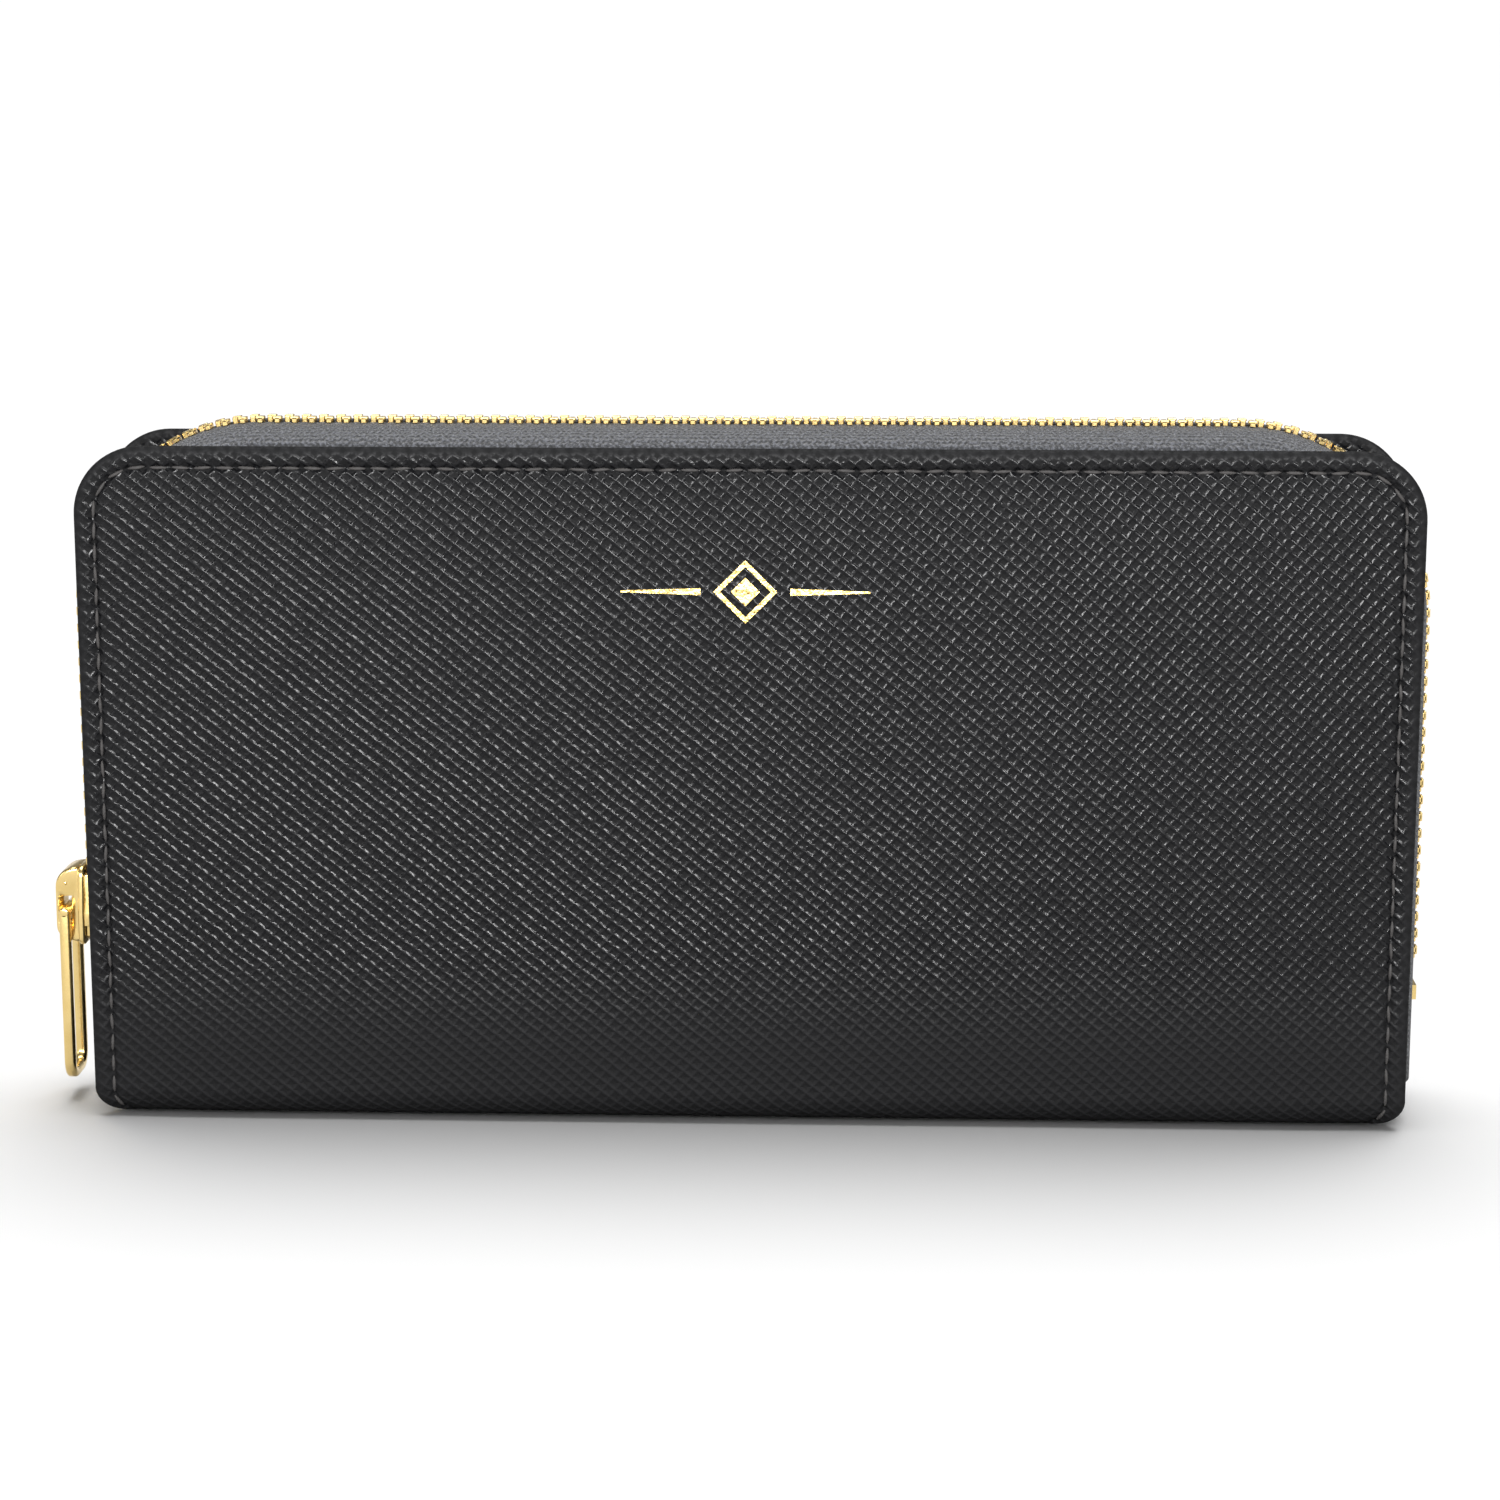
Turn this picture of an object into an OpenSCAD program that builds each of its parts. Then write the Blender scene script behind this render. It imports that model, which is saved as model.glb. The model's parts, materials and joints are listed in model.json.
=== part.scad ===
// Zip around wallet, standing closed on its folded spine.
// X runs along the wallet, the front cover faces -Y, Z is up.
// The origin is the middle of the spine's flat base.

/* [Covers] */
// Length of both covers
cover_w = 195; // [160:1:235]
// Height from the spine's base to the covers' top edge
cover_h = 100.6; // [84:0.2:122]
// Thickness of the closed wallet, across both covers
cover_t = 25; // [20.5:0.5:30]
// Corner radius of a cover at its zipped top corners
top_r = 10; // [6:0.5:14]
// Corner radius of a cover beside the spine
foot_r = 4; // [2:0.5:4.5]
// Thickness of the outer leather
leather_t = 1.2; // [1:0.1:1.4]
// Thickness of the board that stiffens a cover
board_t = 0.8; // [0.5:0.1:1]
// Thickness of a cover's lining
lining_t = 0.5; // [0.3:0.1:0.6]

/* [Spine] */
// Radius of the fold between a cover and the spine
fold_r = 5; // [4.5:0.1:5.5]
// Angle that each cover opens by before its gussets are taut
open_angle = 30; // [20:1:30]
// Gap between leather layers that slide on each other at the fold
fold_gap = 0.3; // [0.2:0.05:0.4]

/* [Stitching] */
// Distance of the seam from a cover's edge
seam_inset = 3; // [2.2:0.1:4]
// Distance from one stitch to the next
stitch_pitch = 3.2; // [2.6:0.1:4]
// Length of the thread seen in one stitch
stitch_len = 2.5; // [1.5:0.1:2.5]
// Thickness of the thread
stitch_t = 0.5; // [0.3:0.05:0.6]
// Depth of the groove that the seam lies in
groove_d = 0.35; // [0.2:0.05:0.5]

/* [Main zip] */
// Distance of the tooth line outside the covers' two sides
chain_out = 1.1; // [0.8:0.1:4]
// Distance of the tooth line above the covers' top edge
chain_rise = 2.1; // [1.2:0.1:4]
// Radius of the tooth line at the top corners
chain_r = 27; // [20:1:30]
// Distance from one tooth to the next in one row
tooth_pitch = 2.54; // [2.5:0.02:2.8]
// Length of a tooth along the zip
tooth_len = 1.15; // [0.9:0.05:1.15]
// Half thickness of a tooth
tooth_h = 1.2; // [1:0.05:1.3]
// Distance of a tooth's heel from the middle of the zip
tooth_heel = 2.2; // [2:0.05:2.4]
// Distance that a tooth's head reaches past the middle
tooth_head = 0.6; // [0.4:0.05:0.7]
// Thickness of the woven tape
tape_t = 0.5; // [0.4:0.05:0.5]
// Height at which the tapes end on the slider's side
tape_end_left = 14; // [10:0.5:20]
// Height at which the tapes end on the other side
tape_end_right = 6.5; // [6:0.5:12]
// Height of the stop that joins both tapes
bottom_stop_z = 17.5; // [14:0.5:24]

/* [Slider] */
// Height of the slider's mouth when the zip is closed
slider_z = 24.2; // [22:0.2:32]
// Length of the slider
slider_len = 12; // [11:0.2:14]
// Half width of the slider
slider_half_w = 4.4; // [4.2:0.1:4.6]
// Thickness of the slider's two wings
wing_t = 0.9; // [0.7:0.05:1]
// Gap between the teeth and the slider
slider_gap = 0.15; // [0.1:0.01:0.2]
// Length of the pull, from its pivot to its tip
pull_len = 26.2; // [20:0.2:30]
// Width of the pull
pull_w = 9.5; // [8.8:0.1:11]
// Width of the pull's bars
pull_bar = 1.5; // [1.2:0.1:1.5]
// Thickness of the pull and of its pivot bar
pull_t = 1.7; // [1:0.05:1.8]

/* [Card pockets] */
// Thickness of the leaf that the pockets are sewn to
backing_t = 0.6; // [0.4:0.1:0.7]
// Thickness of one card pocket
pocket_t = 0.6; // [0.4:0.1:0.7]
// Distance between the top edges of two pockets
pocket_step = 12; // [8:0.5:13]
// Height of the hem under the pockets
pocket_foot = 10; // [9.5:0.5:14]

/* [Coin pocket] */
// Thickness of the coin pocket's walls
coin_wall_t = 0.7; // [0.5:0.1:0.8]
// Gap between the walls
coin_gap = 1.2; // [1:0.1:1.4]
// Half thickness of a coin zip tooth
coin_tooth_h = 0.85; // [0.7:0.05:0.9]
// Distance between the coin zip's teeth in one row
coin_pitch = 2; // [1.9:0.05:2.4]
// Thickness of the coin zip's tape
coin_tape_t = 0.4; // [0.3:0.05:0.4]
// Length of the coin slider
coin_slider_len = 8.4; // [8:0.1:10]
// Length of the coin pull, from its pivot to its tip
coin_pull_len = 10.5; // [8:0.5:11]

/* [Gussets] */
// Depth of a gusset, from the wallet's end to its fold
gusset_depth = 22; // [16:1:26]
// Thickness of a gusset leaf
gusset_t = 0.4; // [0.3:0.05:0.4]

/* [Hidden] */
$fn = 64;

leather_colour = [0.14, 0.14, 0.15];
lining_colour = [0.2, 0.2, 0.22];
thread_colour = [0.05, 0.05, 0.05];
tape_colour = [0.17, 0.18, 0.21];
gold_colour = [0.83, 0.66, 0.36];
board_colour = [0.55, 0.5, 0.42];

// Layers of the front cover, from its outer face inwards
face_y = -cover_t / 2;
leather_y = face_y + leather_t;
board_y = leather_y + board_t;
lining_y = board_y + lining_t;
backing_y = lining_y + backing_t;
function pocket_y(i) = backing_y + i * pocket_t;
pocket_count = 4;
pockets_y = pocket_y(pocket_count);

// The fold: a cover's hinge axis runs along X at (hinge_y, fold_r)
hinge_y = face_y + fold_r;
lip_r = fold_r - leather_t;
knuckle_r = lip_r - fold_gap;
knuckle_t = 1.2;
board_foot = fold_r + 3;
lining_foot = board_foot + 1;

// The tooth line: up the left side, over the top and down the right side
chain_x = cover_w / 2 + chain_out;
chain_top = cover_h + chain_rise;
chain_bend_z = chain_top - chain_r;
// How far inside the tooth line the tape is sewn down, from and to
flap_from = chain_out + 2;
flap_to = chain_out + 7.3;
lining_half_w = chain_x - flap_to - 0.5;
tape_edge = 1;
tape_bend_y = slider_half_w + 0.2;
tape_slot = 0.07;

// The slider, measured from its mouth
channel_h = tooth_h + slider_gap;
wing_top = channel_h + wing_t;
pull_lift = 1.2;
coin_pull_lift = 0.2;
pull_u = wing_top + pull_lift + pull_t / 2;
pivot_z = 5.1;
cap_gap = 0.1;
cap_t = 0.6;
cap_half_w = 2.6;
spring_room = [8.3, 10.9, 0.8, -1];
post_len = 3.8;
ledge_z = 4;
first_tooth_z = slider_z + post_len + 1.2;
stop_len = 2.2;
stop_web = 0.25;
post_half_w = 0.6;
top_stop_z = slider_z + 1.3;

// The coin pocket, up the middle of the wallet
coin_x = cover_w / 2 - 9.5;
coin_foot = fold_r - 1;
coin_top = cover_h - 16;
coin_inner_y = coin_gap / 2;
coin_outer_y = coin_inner_y + coin_wall_t;
coin_seam_w = 2;
coin_tape_x = coin_x - 10;
coin_chain_x = coin_tape_x - 3;
coin_heel = coin_outer_y;
coin_head = 0.4;
coin_tooth_len = 0.9;
coin_edge = 0.6;
coin_slider_gap = 0.15;
coin_wing_t = 0.5;
coin_channel_h = coin_tooth_h + coin_slider_gap;
coin_wing_top = coin_channel_h + coin_wing_t;
coin_half_w = coin_heel + coin_slider_gap + 0.65;
coin_chain_z = coin_top + 3.2;
coin_stop_len = 1.6;
coin_slider_x = -coin_chain_x + coin_stop_len / 2 + 0.1;
coin_pull_t = 0.9;
coin_pull_w = 5.4;
coin_pull_u = coin_wing_top + coin_pull_lift + coin_pull_t / 2;
coin_pivot = 3.6;
coin_post_len = 2.6;
coin_cap_half_w = 1.4;

// Gusset leaves stand between the card pockets and the coin pocket
gusset_top = coin_top - 2;
gusset_foot = lining_foot + 3;
gusset_tab = 0.4;
backing_x = cover_w / 2 - 8;
backing_top = cover_h - 10;

// ---- Shapes ----

// A plate drawn in X and Z, from y0 to y1
module slab(y0, y1) {
  translate([0, y1, 0]) rotate([90, 0, 0]) linear_extrude(y1 - y0) children();
}

// A profile drawn in Y and Z, run along X and centred
module along_x(length) {
  rotate([90, 0, 90]) linear_extrude(length, center = true) children();
}

// Straight sides from z0 up and two round top corners
module arch(half, top, r, z0) {
  translate([-half, z0]) square([2 * half, top - r - z0]);
  translate([r - half, z0]) square([2 * (half - r), top - z0]);
  for (side = [-1, 1]) translate([side * (half - r), top - r]) circle(r);
}

module cover_outline() {
  arch(cover_w / 2, cover_h, top_r, foot_r);
  foot_x = cover_w / 2 - foot_r;
  translate([-foot_x, 0]) square([2 * foot_x, 2 * foot_r]);
  for (side = [-1, 1]) translate([side * foot_x, foot_r]) circle(foot_r);
}

module inset_outline(inset, z0) {
  arch(cover_w / 2 - inset, cover_h - inset, top_r - inset, z0);
}

module rounded_rect(w, h, r) {
  translate([-w / 2, -h / 2 + r]) square([w, h - 2 * r]);
  translate([-w / 2 + r, -h / 2]) square([w - 2 * r, h]);
  for (x = [-1, 1], y = [-1, 1]) translate([x * (w / 2 - r), y * (h / 2 - r)]) circle(r);
}

// Part of a ring in the plane of Y and Z, turning from -Y towards -Z
module fold_ring(outer, inner, a0, a1) {
  far = 2 * outer;
  intersection() {
    difference() {
      circle(outer);
      circle(inner);
    }
    polygon([
      [0, 0],
      for (k = [0:3]) let (a = 180 + a0 + (a1 - a0) * k / 3) [far * cos(a), far * sin(a)]
    ]);
  }
}

function unit(v) = v / norm(v);
function left_of(v) = [-v.y, v.x];
function bezier(p, t) =
  p[0] * pow(1 - t, 3) + 3 * p[1] * t * pow(1 - t, 2) + 3 * p[2] * t * t * (1 - t) + p[3] * pow(t, 3);
// Direction of a line of points at point i
function heading(line, i) =
  unit(line[min(i + 1, len(line) - 1)] - line[max(i - 1, 0)]);

// A strip of thickness t along a line of points
module strip(line, t) {
  last = len(line) - 1;
  polygon([
    for (i = [0:last]) line[i] + left_of(heading(line, i)) * t / 2,
    for (i = [last:-1:0]) line[i] - left_of(heading(line, i)) * t / 2
  ]);
}

// Distance along a path that goes up one side, over the top and down the other
function path_side(top, r, z0) = top - r - z0;
function path_arc(r) = PI * r / 2;
function path_over(half, r) = 2 * (half - r);
function path_length(half, top, r, z0, z1) =
  path_side(top, r, z0) + 2 * path_arc(r) + path_over(half, r) + path_side(top, r, z1);

// Places its children on such a path: their X points outwards and their Z along the path
module on_path(s, half, top, r, z0) {
  a = path_side(top, r, z0);
  b = a + path_arc(r);
  c = b + path_over(half, r);
  d = c + path_arc(r);
  turn = s < a ? 0 : s < b ? (s - a) / r * 180 / PI : s < c ? 90 : s < d ? 90 + (s - c) / r * 180 / PI : 180;
  across = s < b ? r - half : s < c ? s - b + r - half : half - r;
  up = s < a ? z0 + s : s < d ? top - r : top - r - (s - d);
  translate([across - r * cos(turn), 0, up + r * sin(turn)]) rotate([0, 180 + turn, 0]) children();
}

// Runs a profile of [distance outside the tooth line, y] along the tooth line
module along_chain(z_left, z_right) {
  straight = 2 * (chain_x - chain_r);
  translate([chain_x, 0, z_right]) linear_extrude(chain_bend_z - z_right) children();
  mirror([1, 0, 0]) translate([chain_x, 0, z_left]) linear_extrude(chain_bend_z - z_left) children();
  translate([straight / 2, 0, chain_top]) rotate([0, -90, 0]) linear_extrude(straight) children();
  for (side = [0, 1]) mirror([side, 0, 0]) translate([chain_x - chain_r, 0, chain_bend_z])
    rotate([90, 0, 0]) rotate_extrude(angle = 90) translate([chain_r, 0]) mirror([0, 1]) children();
}

// A tooth's outline in [outwards, y]: two legs that grip the tape, and a head
module tooth_outline(h, heel, head, edge, slot) {
  polygon([
    [-h, head], [h, head], [h, -heel], [slot, -heel],
    [slot, slot - edge], [-slot, slot - edge], [-slot, -heel], [-h, -heel]
  ]);
}

module slider_body_shape(length, half_w, wing, channel_h, channel_w, ledge, slot, post_w, post) {
  flange_y = channel_w + 1.05;
  for (side = [0, 1]) mirror([side, 0, 0]) {
    translate([channel_h, 0, length / 2]) rotate([0, 90, 0])
      linear_extrude(wing) rounded_rect(length, 2 * half_w, wing);
    for (edge = [0, 1]) mirror([0, edge, 0]) {
      rim_y = min(flange_y, half_w - 0.5);
      translate([slot, rim_y, wing]) cube([channel_h - slot, half_w - rim_y, length - 2 * wing]);
      translate([slot, channel_w, ledge]) cube([channel_h - slot, half_w - channel_w, length - wing - ledge]);
    }
  }
  translate([-channel_h, 0, 0]) rotate([90, 0, 90]) linear_extrude(2 * channel_h)
    polygon([[0, 0.1], [post_w, post * 0.4], [post_w, post * 0.7], [0, post], [-post_w, post * 0.7], [-post_w, post * 0.4]]);
}

// An arch over the outer wing; each room in it is [from, to, height]
module slider_cap_shape(length, half_w, base, peak, rooms) {
  translate([base, 0, 0]) rotate([90, 0, 0]) linear_extrude(2 * half_w, center = true) difference() {
    polygon([[0, 0.6], [peak * 0.7, 0.9], [peak, 2], [peak, length * 0.72], [peak * 0.6, length - 1], [0, length - 0.5]]);
    for (room = rooms) translate([room[3], room[0]]) square([room[2] - room[3], room[1] - room[0]]);
  }
}

// A flat open frame that hangs from a round bar
module pull_shape(length, width, bar, t) {
  round_out = 2 * bar;
  inner_w = width - 2 * bar;
  rotate([90, 0, 90]) linear_extrude(t, center = true) difference() {
    union() {
      translate([-width / 2, round_out - length]) square([width, length - round_out]);
      translate([round_out - width / 2, -length]) square([width - 2 * round_out, length]);
      for (x = [-1, 1]) translate([x * (width / 2 - round_out), round_out - length]) circle(round_out);
    }
    translate([-inner_w / 2, round_out - length]) square([inner_w, length]);
    translate([bar - inner_w / 2, bar - length]) square([inner_w - 2 * bar, length]);
    for (x = [-1, 1]) translate([x * (inner_w / 2 - bar), 2 * bar - length]) circle(bar);
  }
  rotate([90, 0, 0]) cylinder(r = t / 2, h = width, center = true);
}

// Puts a slider part on the left side's tooth line, its mouth down
module on_main_slider() {
  translate([-chain_x, 0, slider_z]) mirror([1, 0, 0]) children();
}

// Puts a slider part on the coin zip, its mouth to the left
module on_coin_slider() {
  translate([coin_slider_x, 0, coin_chain_z]) mirror([1, 0, 0]) rotate([0, -90, 0]) children();
}

module behind() {
  mirror([0, 1, 0]) children();
}

// ---- Covers ----

module cover_leather() {
  groove_half = stitch_t / 2 + 0.05;
  seam_foot = fold_r + 1;
  difference() {
    union() {
      intersection() {
        slab(face_y, 0) cover_outline();
        along_x(cover_w) {
          translate([face_y, fold_r]) square([leather_t, cover_h]);
          translate([hinge_y, fold_r]) fold_ring(fold_r, lip_r, 0, 90 - open_angle);
        }
      }
      slab(leather_y - 0.1, board_y) difference() {
        inset_outline(0, board_foot);
        inset_outline(leather_t, board_foot - 1);
      }
    }
    slab(face_y - 1, face_y + groove_d) difference() {
      inset_outline(seam_inset - groove_half, seam_foot);
      inset_outline(seam_inset + groove_half, seam_foot - 1);
    }
  }
}

module front_cover_leather() { color(leather_colour) cover_leather(); }
module back_cover_leather() { color(leather_colour) behind() cover_leather(); }

module spine_leather() {
  half = -hinge_y - fold_gap;
  color(leather_colour) intersection() {
    slab(-half, half) cover_outline();
    translate([-cover_w / 2, -half, 0]) cube([cover_w, 2 * half, leather_t]);
  }
}

module spine_lining() {
  half = -hinge_y - fold_gap;
  floor_z = fold_r - knuckle_r;
  color(lining_colour) along_x(2 * lining_half_w) {
    translate([-half, leather_t]) square([2 * half, knuckle_t]);
    translate([hinge_y, floor_z]) square([-2 * hinge_y, knuckle_t]);
    for (side = [0, 1]) mirror([side, 0]) translate([hinge_y, fold_r])
      fold_ring(knuckle_r, knuckle_r - knuckle_t, 0, 90);
  }
}

module cover_board() {
  slab(leather_y, board_y) inset_outline(leather_t, board_foot);
}

module front_board() { color(board_colour) cover_board(); }
module back_board() { color(board_colour) behind() cover_board(); }

module cover_lining() {
  inset = chain_x - lining_half_w;
  slab(board_y, lining_y) arch(chain_x - inset, chain_top - inset, chain_r - inset, lining_foot);
}

module front_lining() { color(lining_colour) cover_lining(); }
module back_lining() { color(lining_colour) behind() cover_lining(); }

module cover_stitching() {
  half = cover_w / 2 - seam_inset;
  top = cover_h - seam_inset;
  r = top_r - seam_inset;
  z0 = fold_r + 2.5;
  run = path_length(half, top, r, z0, z0);
  count = floor(run / stitch_pitch);
  start = (run - (count - 1) * stitch_pitch) / 2;
  translate([0, face_y + groove_d / 2, 0]) for (i = [0:count - 1])
    on_path(start + i * stitch_pitch, half, top, r, z0) cube([stitch_t, groove_d, stitch_len], center = true);
}

module front_stitching() { color(thread_colour) cover_stitching(); }
module back_stitching() { color(thread_colour) behind() cover_stitching(); }

// ---- Main zip ----

module cover_tape() {
  flap_y = board_y + tape_t / 2;
  bend = [[-flap_from, flap_y], [-0.45 * flap_from, flap_y + 0.15], [0, -tape_bend_y - 2.9], [0, -tape_bend_y]];
  line = [[-flap_to, flap_y], for (k = [0:10]) bezier(bend, k / 10), [0, -tape_edge]];
  along_chain(tape_end_left, tape_end_right) {
    strip(line, tape_t);
    // The sewn flap and its glue fill the layer that the lining fills beside it
    translate([-flap_to, board_y]) square([flap_to - flap_from, lining_t]);
  }
}

module zip_tape_front() { color(tape_colour) cover_tape(); }
module zip_tape_back() { color(tape_colour) behind() cover_tape(); }

module cover_teeth(shift) {
  run = path_length(chain_x, chain_top, chain_r, first_tooth_z, bottom_stop_z + stop_len);
  count = floor(run / tooth_pitch) - 1;
  slot = tape_t / 2 + tape_slot;
  for (i = [0:count - 1]) on_path((i + shift) * tooth_pitch, chain_x, chain_top, chain_r, first_tooth_z)
    linear_extrude(tooth_len, center = true) tooth_outline(tooth_h, tooth_heel, tooth_head, tape_edge, slot);
}

module zip_teeth_front() { color(gold_colour) cover_teeth(0); }
module zip_teeth_back() { color(gold_colour) behind() cover_teeth(0.5); }

// A crimp round the tape's edge, beside the slider's post
module top_stop() {
  slot = tape_t / 2 + tape_slot;
  web_y = tape_edge - tape_slot;
  translate([-chain_x, 0, top_stop_z]) mirror([1, 0, 0]) linear_extrude(stop_len)
    tooth_outline(tooth_h, tape_edge + 2.1, stop_web - web_y, web_y + slot, slot);
}

module zip_top_stop_front() { color(gold_colour) top_stop(); }
module zip_top_stop_back() { color(gold_colour) behind() top_stop(); }

module zip_bottom_stop() {
  slot = tape_t / 2 + tape_slot;
  color(gold_colour) translate([chain_x, 0, bottom_stop_z]) linear_extrude(stop_len)
    for (side = [0, 1]) mirror([0, side]) tooth_outline(tooth_h + 0.1, tooth_heel, 0.1, tape_edge, slot);
}

module slider_body() {
  color(gold_colour) on_main_slider()
    slider_body_shape(slider_len, slider_half_w, wing_t, channel_h, tooth_heel + 0.25, ledge_z, 0.55, post_half_w, post_len);
}

module slider_cap() {
  window = [3.2, 7.6, pull_lift + pull_t + cap_gap, pull_lift - cap_gap];
  color(gold_colour) on_main_slider()
    slider_cap_shape(slider_len, cap_half_w, wing_top, window[2] + cap_t, [window, spring_room]);
}

module slider_lock_spring() {
  color(gold_colour) on_main_slider() translate([wing_top, -0.9, spring_room[0] + 0.1])
    cube([0.35, 1.8, spring_room[1] - spring_room[0] - 0.2]);
}

module slider_pull() {
  color(gold_colour) on_main_slider() translate([pull_u, 0, pivot_z])
    pull_shape(pull_len, pull_w, pull_bar, pull_t);
}

// ---- Card pockets ----

module card_leaf(y0, y1, top) {
  slab(y0, y1) arch(backing_x, top, 1.5, pocket_foot);
}

module card_pocket(i) {
  card_leaf(pocket_y(i - 1), pocket_y(i), backing_top - 8 - (i - 1) * pocket_step);
}

module front_card_backing() { color(lining_colour) card_leaf(lining_y, backing_y, backing_top); }
module back_card_backing() { color(lining_colour) behind() card_leaf(lining_y, backing_y, backing_top); }
module front_card_pocket_1() { color(leather_colour) card_pocket(1); }
module front_card_pocket_2() { color(leather_colour) card_pocket(2); }
module front_card_pocket_3() { color(leather_colour) card_pocket(3); }
module front_card_pocket_4() { color(leather_colour) card_pocket(4); }
module back_card_pocket_1() { color(leather_colour) behind() card_pocket(1); }
module back_card_pocket_2() { color(leather_colour) behind() card_pocket(2); }
module back_card_pocket_3() { color(leather_colour) behind() card_pocket(3); }
module back_card_pocket_4() { color(leather_colour) behind() card_pocket(4); }

// ---- Coin pocket ----

module coin_wall() {
  slab(-coin_outer_y, -coin_inner_y) translate([-coin_x, coin_foot]) square([2 * coin_x, coin_top - coin_foot]);
}

module coin_pocket_front_wall() { color(lining_colour) coin_wall(); }
module coin_pocket_back_wall() { color(lining_colour) behind() coin_wall(); }

module coin_pocket_seam() {
  foot_z = fold_r - knuckle_r + knuckle_t;
  color(thread_colour) slab(-coin_inner_y, coin_inner_y) difference() {
    translate([-coin_x, foot_z]) square([2 * coin_x, coin_top - foot_z]);
    translate([coin_seam_w - coin_x, coin_foot + coin_seam_w])
      square([2 * (coin_x - coin_seam_w), coin_top]);
  }
}

module coin_tape() {
  wall_line = -coin_outer_y - coin_tape_t / 2;
  side = -coin_half_w - coin_tape_t / 2 - 0.2;
  z = coin_chain_z;
  line = [
    [wall_line, coin_top - 6], [wall_line, z - 3.1], [side, z - 2], [side, z - 0.5],
    [side + 0.15, z - 0.15], [side + 0.5, z], [-coin_edge, z]
  ];
  along_x(2 * coin_tape_x) strip(line, coin_tape_t);
}

module coin_zip_tape_front() { color(tape_colour) coin_tape(); }
module coin_zip_tape_back() { color(tape_colour) behind() coin_tape(); }

module coin_teeth(shift) {
  first = coin_slider_x + coin_post_len + 1 + shift * coin_pitch;
  count = floor((coin_chain_x - 2 - first) / coin_pitch);
  slot = coin_tape_t / 2 + tape_slot;
  translate([0, 0, coin_chain_z]) for (i = [0:count - 1]) translate([first + i * coin_pitch, 0, 0])
    rotate([0, -90, 0]) linear_extrude(coin_tooth_len, center = true)
      tooth_outline(coin_tooth_h, coin_heel, coin_head, coin_edge, slot);
}

module coin_zip_teeth_front() { color(gold_colour) coin_teeth(0); }
module coin_zip_teeth_back() { color(gold_colour) behind() coin_teeth(0.5); }

module coin_zip_stops() {
  slot = coin_tape_t / 2 + tape_slot;
  color(gold_colour) for (x = [-coin_chain_x, coin_chain_x]) translate([x, 0, coin_chain_z])
    rotate([0, -90, 0]) linear_extrude(coin_stop_len, center = true)
      for (side = [0, 1]) mirror([0, side]) tooth_outline(coin_tooth_h, coin_heel, 0.1, coin_edge, slot);
}

module coin_slider_body() {
  color(gold_colour) on_coin_slider() slider_body_shape(coin_slider_len, coin_half_w, coin_wing_t,
    coin_channel_h, coin_heel + coin_slider_gap, 2.8, 0.35, 0.5, coin_post_len);
}

module coin_slider_cap() {
  window = [2.2, 5, coin_pull_lift + coin_pull_t + cap_gap, -1];
  color(gold_colour) on_coin_slider()
    slider_cap_shape(coin_slider_len, coin_cap_half_w, coin_wing_top, window[2] + 0.4, [window]);
}

module coin_slider_pull() {
  color(gold_colour) on_coin_slider() translate([coin_pull_u, 0, coin_pivot])
    pull_shape(coin_pull_len, coin_pull_w, 1, coin_pull_t);
}

// ---- Gussets: a V of two leaves at each end, its fold pointing into the wallet ----

module gusset_leaf(end_x, fold_x, y0, tab_y) {
  slab(y0, y0 + gusset_t) translate([fold_x, gusset_foot]) square([end_x - fold_x, gusset_top - gusset_foot]);
  tab_from = min(y0, tab_y);
  tab_to = max(y0 + gusset_t, tab_y);
  translate([end_x - gusset_tab, tab_from, gusset_foot])
    cube([gusset_tab, tab_to - tab_from, gusset_top - gusset_foot]);
}

module gusset_outer() {
  end_x = backing_x + gusset_tab + 0.1;
  gusset_leaf(end_x, end_x - gusset_depth, pockets_y + 0.2, lining_y);
}

module gusset_inner() {
  gusset_leaf(coin_x, coin_x - gusset_depth, -coin_outer_y - 0.4 - gusset_t, -coin_outer_y);
}

module left() {
  mirror([1, 0, 0]) children();
}

module gusset_front_left_outer() { color(lining_colour) left() gusset_outer(); }
module gusset_front_left_inner() { color(lining_colour) left() gusset_inner(); }
module gusset_front_right_outer() { color(lining_colour) gusset_outer(); }
module gusset_front_right_inner() { color(lining_colour) gusset_inner(); }
module gusset_back_left_outer() { color(lining_colour) behind() left() gusset_outer(); }
module gusset_back_left_inner() { color(lining_colour) behind() left() gusset_inner(); }
module gusset_back_right_outer() { color(lining_colour) behind() gusset_outer(); }
module gusset_back_right_inner() { color(lining_colour) behind() gusset_inner(); }

front_cover_leather();
back_cover_leather();
spine_leather();
spine_lining();
front_board();
back_board();
front_lining();
back_lining();
front_stitching();
back_stitching();
zip_tape_front();
zip_tape_back();
zip_teeth_front();
zip_teeth_back();
zip_top_stop_front();
zip_top_stop_back();
zip_bottom_stop();
slider_body();
slider_cap();
slider_lock_spring();
slider_pull();
front_card_backing();
back_card_backing();
front_card_pocket_1();
front_card_pocket_2();
front_card_pocket_3();
front_card_pocket_4();
back_card_pocket_1();
back_card_pocket_2();
back_card_pocket_3();
back_card_pocket_4();
coin_pocket_front_wall();
coin_pocket_back_wall();
coin_pocket_seam();
coin_zip_tape_front();
coin_zip_tape_back();
coin_zip_teeth_front();
coin_zip_teeth_back();
coin_zip_stops();
coin_slider_body();
coin_slider_cap();
coin_slider_pull();
gusset_front_left_outer();
gusset_front_left_inner();
gusset_front_right_outer();
gusset_front_right_inner();
gusset_back_left_outer();
gusset_back_left_inner();
gusset_back_right_outer();
gusset_back_right_inner();
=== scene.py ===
"""Zip around wallet: leather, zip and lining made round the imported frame, in metres."""

import json
import math

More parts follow.
